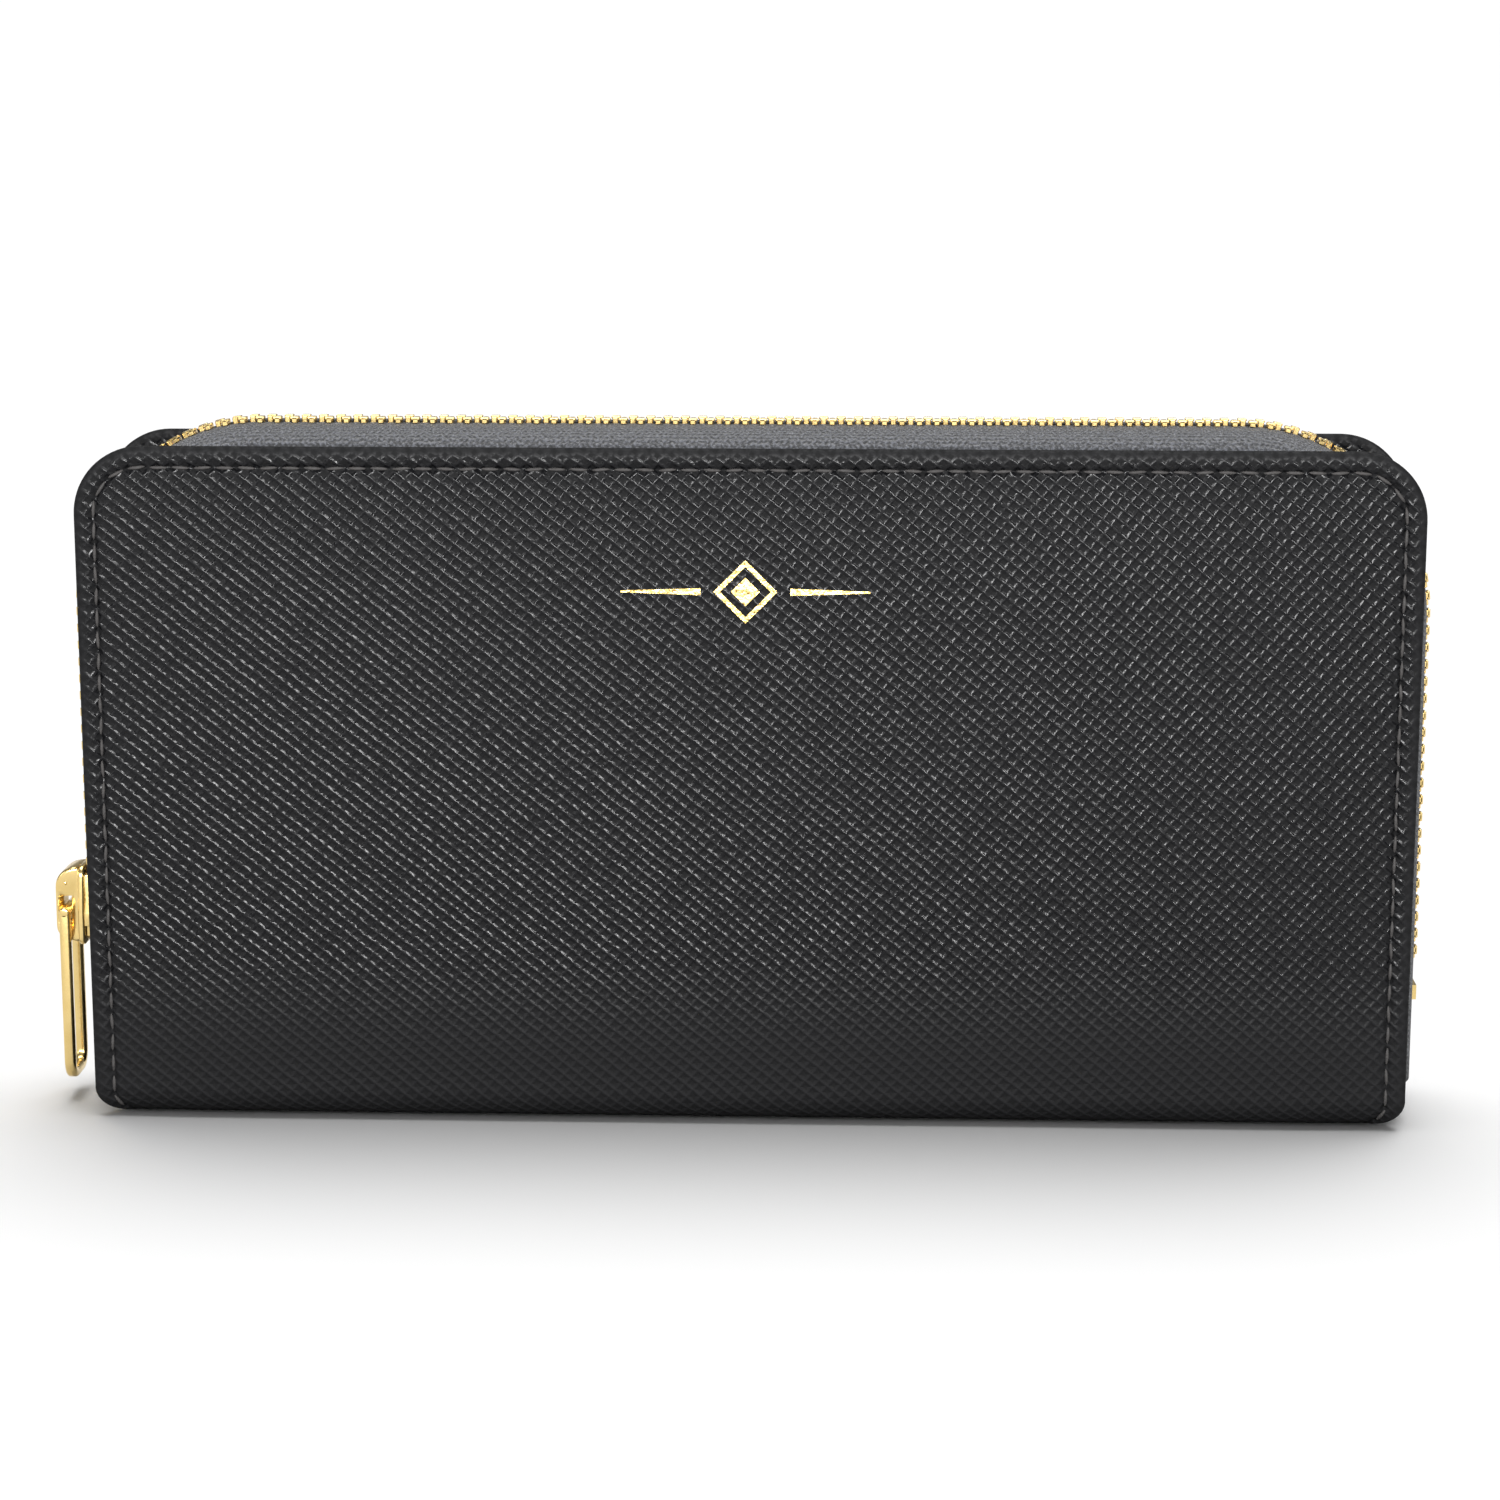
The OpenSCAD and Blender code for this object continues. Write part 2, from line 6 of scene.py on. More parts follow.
import bmesh
import bpy
from mathutils import Matrix, Vector

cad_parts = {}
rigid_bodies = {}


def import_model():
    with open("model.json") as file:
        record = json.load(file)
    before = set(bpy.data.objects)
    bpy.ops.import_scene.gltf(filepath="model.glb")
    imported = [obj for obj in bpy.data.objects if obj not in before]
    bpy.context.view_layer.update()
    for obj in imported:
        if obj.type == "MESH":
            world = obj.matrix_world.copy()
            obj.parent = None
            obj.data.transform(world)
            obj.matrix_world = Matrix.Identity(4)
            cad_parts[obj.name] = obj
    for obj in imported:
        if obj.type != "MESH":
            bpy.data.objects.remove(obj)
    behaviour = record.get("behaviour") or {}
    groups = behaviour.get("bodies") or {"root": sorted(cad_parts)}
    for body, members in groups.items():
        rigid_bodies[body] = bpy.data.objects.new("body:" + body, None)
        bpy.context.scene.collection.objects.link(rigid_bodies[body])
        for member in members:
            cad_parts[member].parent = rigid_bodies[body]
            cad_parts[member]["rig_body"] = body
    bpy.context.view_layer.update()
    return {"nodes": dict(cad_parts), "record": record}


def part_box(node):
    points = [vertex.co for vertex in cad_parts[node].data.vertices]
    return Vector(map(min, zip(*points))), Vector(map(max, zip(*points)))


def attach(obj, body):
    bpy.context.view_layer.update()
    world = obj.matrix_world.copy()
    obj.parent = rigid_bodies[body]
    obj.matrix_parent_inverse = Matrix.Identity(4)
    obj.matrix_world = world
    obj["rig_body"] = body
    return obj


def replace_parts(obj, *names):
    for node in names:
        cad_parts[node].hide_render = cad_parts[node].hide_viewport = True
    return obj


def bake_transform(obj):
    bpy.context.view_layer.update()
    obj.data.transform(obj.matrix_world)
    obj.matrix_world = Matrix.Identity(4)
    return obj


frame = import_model()

MM = 0.001
SIDES = {"front": -1, "back": 1}

# ---- Sizes: places come from the frame, the rest is the maker's pattern ----

cover_lo, cover_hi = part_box("front_cover_leather")
tape_lo, tape_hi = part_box("zip_tape_front")
joints = {joint["name"]: joint for joint in frame["record"]["behaviour"]["joints"]}

COVER_X = cover_hi[0]
COVER_TOP = cover_hi[2]
FACE_Y = -cover_lo[1]
FOLD_R = joints["front_open"]["pos_m"][2]
HINGE_Y = FACE_Y - FOLD_R
TOP_R = 10 * MM
FOOT_R = 4 * MM
PLATE_T = 2 * MM
HIDE_T = 1.2 * MM
FOLD_LEN = math.pi / 2 * FOLD_R
PANEL_S = HINGE_Y + FOLD_LEN
HIDE_S = PANEL_S + COVER_TOP - FOLD_R

SEAM_INSET = 3 * MM
SEAM_FOOT = 5.8 * MM
STITCH_PITCH = 3.2 * MM
STITCH_LEN = 2.6 * MM
STITCH_SINK = 0.12 * MM
THREAD_R = 0.27 * MM

TAPE_T = 0.5 * MM
CHAIN_R = 27 * MM
CHAIN_X = tape_hi[0] - TAPE_T / 2
CHAIN_TOP = tape_hi[2] - TAPE_T / 2
CHAIN_BEND = CHAIN_TOP - CHAIN_R
CHAIN_OUT = CHAIN_X - COVER_X
TAPE_LEFT_FOOT = 14 * MM
TOOTH_PITCH = 2.54 * MM


# ---- Materials ----


class Wire:
    """A socket that gives a value; sums, products and the like on it add Math nodes."""

    def __init__(self, look, socket):
        self.look = look
        self.socket = socket

    def math(self, operation, *others):
        inputs = dict(enumerate((self, *others)))
        return self.look.add("ShaderNodeMath", {"operation": operation}, inputs)

    def __add__(self, other):
        return self.math("ADD", other)

    __radd__ = __add__

    def __sub__(self, other):
        return self.math("SUBTRACT", other)

    def __rsub__(self, other):
        return self.math("MULTIPLY", -1).math("ADD", other)

    def __mul__(self, other):
        return self.math("MULTIPLY", other)

    __rmul__ = __mul__

    def __pow__(self, other):
        return self.math("POWER", other)

    def sin(self):
        return self.math("SINE")

    def top(self, other):
        return self.math("MAXIMUM", other)

    def ease(self, low, high):
        settings = {"interpolation_type": "SMOOTHSTEP"}
        inputs = {"Value": self, "From Min": low, "From Max": high}
        return self.look.add("ShaderNodeMapRange", settings, inputs)


class Look:
    """A material, with its shader's constants set first and its nodes added call by call."""

    def __init__(self, name, colour, roughness, **constants):
        self.material = bpy.data.materials.new(name)
        self.material.use_nodes = True
        self.tree = self.material.node_tree
        self.shader = self.tree.nodes["Principled BSDF"]
        self.shader.inputs["Base Color"].default_value = (*colour, 1)
        self.shader.inputs["Roughness"].default_value = roughness
        for key, value in constants.items():
            self.shader.inputs[key.replace("_", " ")].default_value = value

    def add(self, kind, settings=None, inputs=None, output=0):
        node = self.tree.nodes.new(kind)
        for key, value in (settings or {}).items():
            setattr(node, key, value)
        for key, value in (inputs or {}).items():
            if isinstance(value, Wire):
                self.tree.links.new(value.socket, node.inputs[key])
            else:
                node.inputs[key].default_value = value
        return Wire(self, node.outputs[output])

    def feed(self, key, wire):
        self.tree.links.new(wire.socket, self.shader.inputs[key])

    def place(self, uv=None):
        """Metres on the piece: its own UV map, or its object coordinates."""
        if uv:
            return self.add("ShaderNodeUVMap", {"uv_map": uv})
        return self.add("ShaderNodeTexCoord", output="Object")

    def parts(self, vector):
        split = self.add("ShaderNodeSeparateXYZ", inputs={0: vector}).socket.node
        return [Wire(self, socket) for socket in split.outputs]

    def noise(self, vector, scale, detail):
        inputs = {"Vector": vector, "Scale": scale, "Detail": detail}
        return self.add("ShaderNodeTexNoise", inputs=inputs, output="Fac")

    def mix(self, share, low, high):
        inputs = {0: share, 6: (*low, 1), 7: (*high, 1)}
        return self.add("ShaderNodeMix", {"data_type": "RGBA"}, inputs, output=2)

    def bump(self, height, distance):
        inputs = {"Height": height, "Distance": distance, "Strength": 1.0}
        self.feed("Normal", self.add("ShaderNodeBump", inputs=inputs))


def cross_hatched_leather():
    """Black leather pressed with two crossing sets of fine ridges, polished on the ridge tops."""
    look = Look("cross_hatched_leather", (0.01, 0.01, 0.01), 0.55, Specular_IOR_Level=0.14)
    flat = look.place("flat")
    wobble = look.noise(flat, 260, 1.0) - 0.5
    across, along, _ = look.parts(flat)
    pitch = 1.44 * MM
    ridges = []
    for angle, strength in ((-38, 1.0), (49, 0.8)):
        turn = math.radians(angle)
        line = across * -math.sin(turn) + along * math.cos(turn) + wobble * (0.35 * MM)
        wave = (line * (2 * math.pi / pitch)).sin() * 0.5 + 0.5
        ridges.append(wave ** 1.9 * strength)
    pressed = look.add("ShaderNodeAttribute", {"attribute_name": "pressed"}, output="Fac")
    mesh = ridges[0].top(ridges[1])
    crossing = ridges[0] * ridges[1]
    grit = look.noise(flat, 4200, 3.0)
    uneven = look.noise(flat, 700, 2.0)
    lump = look.noise(flat, 1500, 2.0)
    height = (mesh * (uneven * 0.5 + 0.75) + crossing * 0.35 + lump * 0.25) * pressed + grit * 0.1
    look.bump(height, 0.16 * MM)
    worn = look.noise(flat, 45, 3.0)
    above_foot = along.ease(PANEL_S + 4 * MM, PANEL_S + 24 * MM)
    polished = mesh.ease(0.05, 0.4) * lump.ease(0.36, 0.56) * above_foot
    matt = 0.78 + (grit - 0.5) * 0.25 + (worn - 0.5) * 0.12
    look.feed("Roughness", matt - polished * pressed * 0.63)
    # Base colour is darker in the pits and lighter on the ridge tops: this is painted shade that follows
    # the relief, mixed with random wear tone.
    shade = look.mix(mesh * 0.7 + worn * 0.3, (0.001, 0.001, 0.0012), (0.004, 0.004, 0.0045))
    look.feed("Base Color", shade)
    return look.material


def foil_stamp():
    """Gold foil stamped into the pressed grain, thin over the pits."""
    look = Look("foil_stamp", (0.9, 0.62, 0.2), 0.3, Metallic=1.0)
    place = look.place()
    grain = look.noise(place, 900, 2.0)
    fleck = look.noise(place, 2600, 3.0)
    look.bump(grain + fleck * 0.4, 0.25 * MM)
    look.feed("Base Color", look.mix(fleck.ease(0.35, 0.5), (0.3, 0.18, 0.05), (0.95, 0.68, 0.24)))
    look.feed("Roughness", 0.22 + fleck * 0.3)
    return look.material


def zip_tape_cloth():
    """Charcoal woven tape: twill ribs in two directions, with lighter yarns among the dark."""
    look = Look("zip_tape_cloth", (0.03, 0.031, 0.038), 0.85, Sheen_Weight=0.08, Sheen_Roughness=0.5)
    flat = look.place("flat")
    along, across, _ = look.parts(flat)
    yarn = 0.8 * MM
    row = (across * (math.pi / yarn)).sin()
    slant = (along * (2 * math.pi / yarn) + row * 1.4).sin() * 0.5 + 0.5
    rib = (across * (2 * math.pi / yarn)).sin() * 0.5 + 0.5
    fibre = look.noise(flat, 6000, 3.0)
    weave = slant * 0.6 + rib * 0.4
    fleck = look.noise(flat, 2000, 2.0).ease(0.38, 0.66)
    look.bump(weave + fleck * 0.6 + fibre * 0.3, 0.35 * MM)
    shade = (weave * 0.3 + fleck * 0.7) ** 1.4
    look.feed("Base Color", look.mix(shade, (0.003, 0.0034, 0.0042), (0.06, 0.063, 0.074)))
    look.feed("Roughness", 0.7 + fibre * 0.2)
    return look.material


def gold_plate():
    """Pale gold plate on cast zinc: polished, with faint waves and hairlines."""
    look = Look("gold_plate", (0.93, 0.68, 0.3), 0.16, Metallic=1.0)
    place = look.place()
    wave = look.noise(place, 350, 2.0)
    hair = look.noise(place, 3000, 4.0)
    look.bump(wave * 0.8 + hair * 0.2, 0.05 * MM)
    look.feed("Roughness", 0.16 + hair * 0.14)
    look.feed("Base Color", look.mix(wave, (0.7, 0.5, 0.18), (0.82, 0.63, 0.29)))
    return look.material


def waxed_thread():
    look = Look("waxed_thread", (0.012, 0.011, 0.011), 0.55)
    place = look.place()
    fibre = look.noise(place, 2600, 3.0)
    look.bump(fibre, 0.12 * MM)
    look.feed("Base Color", look.mix(fibre, (0.003, 0.003, 0.003), (0.022, 0.019, 0.018)))
    look.feed("Roughness", 0.6 + fibre * 0.3)
    return look.material


def smooth_leather():
    """Matt black leather with a fine pebble, for the pockets inside."""
    look = Look("smooth_leather", (0.01, 0.01, 0.0105), 0.5, Specular_IOR_Level=0.2)
    place = look.place()
    cells = look.add("ShaderNodeTexVoronoi", {"feature": "SMOOTH_F1"}, {"Vector": place, "Scale": 1100.0})
    creases = look.noise(place, 200, 4.0)
    look.bump(cells * -0.7 + creases * 0.4, 0.12 * MM)
    look.feed("Roughness", 0.42 + creases * 0.25)
    look.feed("Base Color", look.mix(creases, (0.006, 0.006, 0.0065), (0.013, 0.013, 0.014)))
    return look.material


def woven_lining():
    """Plain-weave black lining cloth."""
    look = Look("woven_lining", (0.015, 0.015, 0.017), 0.75, Specular_IOR_Level=0.2, Sheen_Weight=0.1)
    x, y, z = look.parts(look.place())
    thread = 2 * math.pi / (0.45 * MM)
    warp = ((x + y) * thread).sin()
    weft = (z * thread).sin()
    weave = (warp * weft) * 0.5 + 0.5
    slub = look.noise(look.place(), 1200, 3.0)
    look.bump(weave + slub * 0.4, 0.08 * MM)
    shade = look.mix(weave * 0.6 + slub * 0.5, (0.007, 0.007, 0.008), (0.025, 0.025, 0.028))
    look.feed("Base Color", shade)
    look.feed("Roughness", 0.65 + slub * 0.25)
    return look.material


def pressed_board():
    look = Look("pressed_board", (0.42, 0.36, 0.28), 0.85)
    fibre = look.noise(look.place(), 1500, 5.0)
    look.bump(fibre, 0.1 * MM)
    look.feed("Base Color", look.mix(fibre, (0.33, 0.27, 0.2), (0.5, 0.44, 0.35)))
    return look.material


def spring_leaf():
    look = Look("spring_leaf", (0.6, 0.6, 0.6), 0.3, Metallic=1.0)
    grain = look.noise(look.place(), 2500, 3.0)
    look.feed("Roughness", 0.2 + grain * 0.2)
    return look.material


LEATHER = cross_hatched_leather()
TAPE = zip_tape_cloth()
GOLD = gold_plate()
THREAD = waxed_thread()
FOIL = foil_stamp()
POCKET = smooth_leather()
LINING = woven_lining()
BOARD = pressed_board()
SPRING = spring_leaf()

SLOT_LOOKS = {
    "leather": LEATHER,
    "card_leather": POCKET,
    "lining": LINING,
    "board": BOARD,
    "thread": THREAD,
    "zip_tape": LINING,
    "zip_metal": GOLD,
    "spring_steel": SPRING,
}
for row in frame["record"]["subparts"]:
    mesh = frame["nodes"][row["node"]].data
    mesh.materials.clear()
    mesh.materials.append(SLOT_LOOKS[row["material_slot"]])


# ---- Making pieces ----


def piece(name, bm, material, body=None, smooth=True):
    """Turns a bmesh into a named object that rides on a body."""
    mesh = bpy.data.meshes.new(name)
    bm.to_mesh(mesh)
    bm.free()
    mesh.materials.append(material)
    mesh.polygons.foreach_set("use_smooth", [smooth] * len(mesh.polygons))
    obj = bpy.data.objects.new(name, mesh)
    bpy.context.scene.collection.objects.link(obj)
    if body:
        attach(obj, body)
    return obj


def add_mesh(bm, mesh, matrix):
    """Adds a copy of mesh, placed by matrix."""
    first = len(bm.verts)
    bm.from_mesh(mesh)
    bm.verts.ensure_lookup_table()
    bmesh.ops.transform(bm, matrix=matrix, verts=bm.verts[first:])


def stored(bm):
    mesh = bpy.data.meshes.new("pattern")
    bm.to_mesh(mesh)
    bm.free()
    return mesh


def joined(parts):
    bm = bmesh.new()
    for part in parts:
        add_mesh(bm, stored(part), Matrix())
    return bm


def turned(bm, matrix):
    bmesh.ops.transform(bm, matrix=matrix, verts=bm.verts)
    bmesh.ops.recalc_face_normals(bm, faces=bm.faces)
    return bm


def only(kind, geom):
    return [part for part in geom if isinstance(part, kind)]


def eased(bm, offset, segments, angle):
    """Rounds the edges where two faces meet at more than angle degrees."""
    sharp = [e for e in bm.edges if e.calc_face_angle(0) > math.radians(angle)]
    bmesh.ops.bevel(
        bm, geom=sharp, offset=offset, affect="EDGES", segments=segments, profile=0.5, material=-1
    )


def prism(outline, length, bevel=0.0, segments=1):
    """A flat outline of (x, y) points, run along Z and centred, with its edges eased."""
    bm = bmesh.new()
    face = bm.faces.new([bm.verts.new((x, y, -length / 2)) for x, y in outline])
    grown = bmesh.ops.extrude_face_region(bm, geom=[face])["geom"]
    bmesh.ops.translate(bm, vec=(0, 0, length), verts=only(bmesh.types.BMVert, grown))
    bmesh.ops.recalc_face_normals(bm, faces=bm.faces)
    if bevel:
        eased(bm, bevel, segments, 20)
    return bm


def arc(cx, cy, r, a0, a1, steps):
    """Points on an arc from a0 to a1 degrees, both ends included."""
    turn = [math.radians(a0 + (a1 - a0) * k / steps) for k in range(steps + 1)]
    return [(cx + r * math.cos(a), cy + r * math.sin(a)) for a in turn]


def ease(low, high, value):
    t = min(max((value - low) / (high - low), 0), 1)
    return t * t * (3 - 2 * t)


class RoundPath:
    """A path up the left side, round two corners and down the right side, in X and Z."""

    def __init__(self, half, top, r, foot):
        self.half, self.top, self.r, self.foot = half, top, r, foot
        self.bend = top - r
        self.a = self.bend - foot
        self.b = self.a + math.pi / 2 * r
        self.c = self.b + 2 * (half - r)
        self.d = self.c + math.pi / 2 * r
        self.length = self.d + self.a

    def frame(self, s):
        """Placing matrix at distance s: X outwards, Y across the wallet, Z back along the path."""
        if s < self.b:
            turn = max(s - self.a, 0) / self.r
        elif s < self.c:
            turn = math.pi / 2
        else:
            turn = math.pi / 2 + min(s - self.c, self.d - self.c) / self.r
        if s < self.a:
            x, z = self.r - self.half, self.foot + s
        elif s < self.b:
            x, z = self.r - self.half, self.bend
        elif s < self.c:
            x, z = s - self.b + self.r - self.half, self.bend
        else:
            x, z = self.half - self.r, self.bend - max(s - self.d, 0)
        at = Vector((x - self.r * math.cos(turn), 0, z + self.r * math.sin(turn)))
        return Matrix.Translation(at) @ Matrix.Rotation(math.pi + turn, 4, "Y")

    def distance(self, x, z):
        """How far along the path the point nearest to (x, z) is."""
        if abs(x) <= self.half - self.r and z > self.bend:
            return self.b + x + self.half - self.r
        if z <= self.bend:
            return z - self.foot if x < 0 else self.length - (z - self.foot)
        turn = math.atan2(z - self.bend, abs(x) - (self.half - self.r))
        return self.a + self.r * turn if x < 0 else self.d - self.r * turn


SEAM = RoundPath(COVER_X - SEAM_INSET, COVER_TOP - SEAM_INSET, TOP_R - SEAM_INSET, SEAM_FOOT)
CHAIN = RoundPath(CHAIN_X, CHAIN_TOP, CHAIN_R, 0)
STITCHES = int(SEAM.length / STITCH_PITCH)
FIRST_STITCH = (SEAM.length - (STITCHES - 1) * STITCH_PITCH) / 2


# ---- The outer hide ----
# The hide is drawn flat, X along the wallet and S from the middle of the spine to a cover's
# top edge, pressed to its relief, and then folded round the spine's edge.


def hide_half(s):
    """Half the hide's width, which narrows round the corners beside the spine."""
    turn = min(max(s - HINGE_Y, 0) / FOLD_R, math.pi / 2)
    drop = FOOT_R - (FOLD_R - FOLD_R * math.cos(turn))
    if drop <= 0:
        return COVER_X
    return COVER_X - FOOT_R + math.sqrt(FOOT_R**2 - drop**2)


def hide_edge(inset, step=0.8 * MM):
    """The hide's edge at some inset: up the right side from the spine, over the top and down."""
    rise = HIDE_S - TOP_R
    count = round(rise / step)
    right = [(hide_half(rise * k / count) - inset, rise * k / count) for k in range(count)]
    corner = arc(COVER_X - TOP_R, rise, TOP_R - inset, 0, 90, 18)
    over = round((COVER_X - TOP_R) / step)
    top = [((COVER_X - TOP_R) * (1 - k / over), HIDE_S - inset) for k in range(1, over)]
    half = right + corner + top
    return half + [(0, HIDE_S - inset)] + [(-x, s) for x, s in reversed(half)]


def edge_distance(x, s):
    """How far a point of the flat hide is from its turned edge."""
    side = hide_half(s) - abs(x)
    end = HIDE_S - s
    if side < TOP_R and end < TOP_R:
        return TOP_R - math.hypot(TOP_R - side, TOP_R - end)
    return min(side, end)


def outer_relief(x, s):
    """How deep the outer surface lies: a rolled edge, a sewn channel with its holes, a soft crown."""
    edge = edge_distance(x, s)
    roll_r = 0.9 * MM
    reach = max(roll_r - max(edge, 0), 0)
    depth = roll_r - math.sqrt(max(roll_r**2 - reach**2, 0))
    depth -= 0.1 * MM * math.exp(-(((edge - 1.5 * MM) / (0.6 * MM)) ** 2))
    z = s - PANEL_S + FOLD_R
    sewn = ease(-2 * MM, -1 * MM, z)
    if sewn and edge < 8 * MM:
        phase = (SEAM.distance(x, z) - FIRST_STITCH) / STITCH_PITCH
        hole = (0.5 - 0.5 * math.cos(2 * math.pi * phase)) ** 3
        channel = math.exp(-(((edge - SEAM_INSET) / (0.5 * MM)) ** 2))
        depth += sewn * channel * (0.25 + 0.45 * hole) * MM
    crown = 0.45 * MM * ease(SEAM_INSET + 0.6 * MM, 16 * MM, edge) * ease(HINGE_Y, PANEL_S, s)
    return depth - crown


def inner_relief(x, s):
    """The inner surface: two layers thick over the board, one over the fold and the spine."""
    edge = edge_distance(x, s)
    roll_r = 0.5 * MM
    reach = max(roll_r - max(edge, 0), 0)
    rise = roll_r - math.sqrt(max(roll_r**2 - reach**2, 0))
    thick = HIDE_T + (PLATE_T - HIDE_T) * ease(PANEL_S - 1 * MM, PANEL_S + 2 * MM, s)
    return thick - rise


def folded(x, s, depth, side):
    """Where a point of the flat hide goes on the wallet."""
    if s > PANEL_S:
        return Vector((x, side * (FACE_Y - depth), s - PANEL_S + FOLD_R))
    if s > HINGE_Y:
        turn = (s - HINGE_Y) / FOLD_R
        r = FOLD_R - depth
        return Vector((x, side * (HINGE_Y + r * math.sin(turn)), FOLD_R - r * math.cos(turn)))
    return Vector((x, side * s, depth))


def cover_hide(name, side):
    bm = bmesh.new()
    rolled_edge = (0, 0.05, 0.15, 0.3, 0.5, 0.75, 1.05, 1.4, 1.8, 2.2)
    channel = (2.5, 2.65, 2.8, 2.9, 3, 3.1, 3.2, 3.35, 3.5)
    lines = []
    for inset in (*rolled_edge, *channel, 3.8, 4.6, 6, 8.5):
        verts = [bm.verts.new((x, s, 0)) for x, s in hide_edge(inset * MM)]
        lines.append([bm.edges.new(pair) for pair in zip(verts, verts[1:])])
    for line, following in zip(lines, lines[1:]):
        bmesh.ops.bridge_loops(bm, edges=line + following)
    bm.edges.new((lines[-1][0].verts[0], lines[-1][-1].verts[1]))
    bmesh.ops.contextual_create(bm, geom=lines[-1] + [bm.edges[:][-1]])
    grown = bmesh.ops.extrude_face_region(bm, geom=bm.faces[:])["geom"]
    bmesh.ops.translate(bm, vec=(0, 0, PLATE_T), verts=only(bmesh.types.BMVert, grown))
    for k in range(1, 11):
        cut(bm, (0, HINGE_Y + FOLD_LEN * k / 10, 0), (0, 1, 0))
    for k in range(1, 16):
        cut(bm, (0, PANEL_S + (HIDE_S - PANEL_S) * k / 16, 0), (0, 1, 0))
    for k in range(-14, 15):
        cut(bm, (COVER_X * k / 15, 0, 0), (1, 0, 0))
    flat = bm.loops.layers.uv.new("flat")
    pressed = bm.verts.layers.float.new("pressed")
    middle = PLATE_T / 2
    for face in bm.faces:
        for loop in face.loops:
            x, s, depth = loop.vert.co
            loop[flat].uv = (x, s + depth)
    for vert in bm.verts:
        x, s, depth = vert.co
        vert[pressed] = 0.25 + 0.75 * ease(0.5 * MM, 1.9 * MM, edge_distance(x, s))
        lies = outer_relief(x, s) if depth < middle else inner_relief(x, s)
        vert.co = folded(x, s, lies, side)
    bmesh.ops.recalc_face_normals(bm, faces=bm.faces)
    return piece(name, bm, LEATHER)


def cut(bm, point, normal):
    geom = bm.verts[:] + bm.edges[:] + bm.faces[:]
    bmesh.ops.bisect_plane(bm, geom=geom, dist=1e-6, plane_co=point, plane_no=normal)


def fold_stitches(name, pattern, side):
    """The last stitches of a seam, which bend round the fold with the hide."""
    bm = bmesh.new()
    for way in (-1, 1):
        for k in (1, 2):
            s = PANEL_S - FOLD_R + SEAM_FOOT + FIRST_STITCH - k * STITCH_PITCH
            step = 1 * MM
            low, at, high = (folded(way * (hide_half(q) - SEAM_INSET), q, STITCH_SINK, side)
                             for q in (s - step, s, s + step))
            along = (high - low).normalized()
            out = Vector((0, side, 0)) - along * (along.y * side)
            turn = Matrix((along.cross(out.normalized()), out.normalized(), along)).transposed().to_4x4()
            flip = Matrix.Scale(-1, 4, (0, 1, 0))
            add_mesh(bm, pattern, Matrix.Translation(at) @ turn @ flip)
    bmesh.ops.recalc_face_normals(bm, faces=bm.faces)
    stitches = piece(name.replace("seam", "fold"), bm, THREAD)
    blend_at_fold(stitches, side)


def blend_at_fold(obj, side):
    start = (0, side * (FACE_Y + 1 * MM), FOLD_R + 2 * MM)
    side * HINGE_Y
    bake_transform(obj)


def seam_stitches(name, side):
    """Black waxed stitches that dip into their holes, along three edges of a cover."""
    bm = bmesh.new()
    bmesh.ops.create_uvsphere(bm, u_segments=8, v_segments=8, radius=1)
    bmesh.ops.scale(bm, vec=(THREAD_R, THREAD_R, STITCH_LEN / 2), verts=bm.verts)
    for vert in bm.verts:
        vert.co.y += 0.16 * MM * (vert.co.z / (STITCH_LEN / 2)) ** 2
    pattern = stored(bm)
    fold_stitches(name, pattern, side)
    bm = bmesh.new()
    lift = Matrix.Translation((0, FACE_Y - STITCH_SINK, 0))
    flip = Matrix.Scale(-1, 4, (0, 1, 0))
    for k in range(STITCHES):
        tilt = Matrix.Rotation(math.radians(4 * math.sin(k * 2.1)), 4, "Y")
        add_mesh(bm, pattern, SEAM.frame(FIRST_STITCH + k * STITCH_PITCH) @ lift @ flip @ tilt)
    if side < 0:
        bmesh.ops.scale(bm, vec=(1, -1, 1), verts=bm.verts)
    bmesh.ops.recalc_face_normals(bm, faces=bm.faces)
    return piece(name, bm, THREAD, body=f"{name.split('_')[0]}_cover")


for word, side in SIDES.items():
    hide = cover_hide(f"{word}_hide", side)
    blend_at_fold(hide, side)
    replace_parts(hide, f"{word}_cover_leather", f"{word}_board", "spine_leather")
    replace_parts(seam_stitches(f"{word}_seam_stitches", side), f"{word}_stitching")


# ---- The main zip ----


def tape_line(side):
    """The tape's cross-section as (outwards, y): sewn flap, bend round the edge, free edge."""
    flap = FACE_Y - PLATE_T - TAPE_T / 2
    bend_y = 4.6 * MM
    sewn = CHAIN_OUT + 2 * MM
    a, b = Vector((-sewn, flap)), Vector((-0.45 * sewn, flap - 0.15 * MM))
    c, d = Vector((0, bend_y + 2.9 * MM)), Vector((0, bend_y))
    bend = [
        a * (1 - t) ** 3 + 3 * b * t * (1 - t) ** 2 + 3 * c * t * t * (1 - t) + d * t**3
        for t in [k / 14 for k in range(15)]
    ]
    free = [Vector((0, bend_y + (1 * MM - bend_y) * k / 6)) for k in range(1, 7)]
    return [Vector((u, side * y)) for u, y in [(-CHAIN_OUT - 7.3 * MM, flap), *bend, *free]]


def extruded(bm, edges, steps, vec):
    for _ in range(steps):
        grown = bmesh.ops.extrude_edge_only(bm, edges=edges)["geom"]
        edges = only(bmesh.types.BMEdge, grown)
        bmesh.ops.translate(bm, vec=Vector(vec) / steps, verts=only(bmesh.types.BMVert, grown))
    return edges


def spun(bm, edges, cx):
    verts = list({v for e in edges for v in e.verts})
    last = bmesh.ops.spin(
        bm, geom=verts + edges, cent=(cx, 0, CHAIN_BEND), axis=(0, 1, 0), angle=math.pi / 2, steps=20
    )["geom_last"]
    return only(bmesh.types.BMEdge, last)


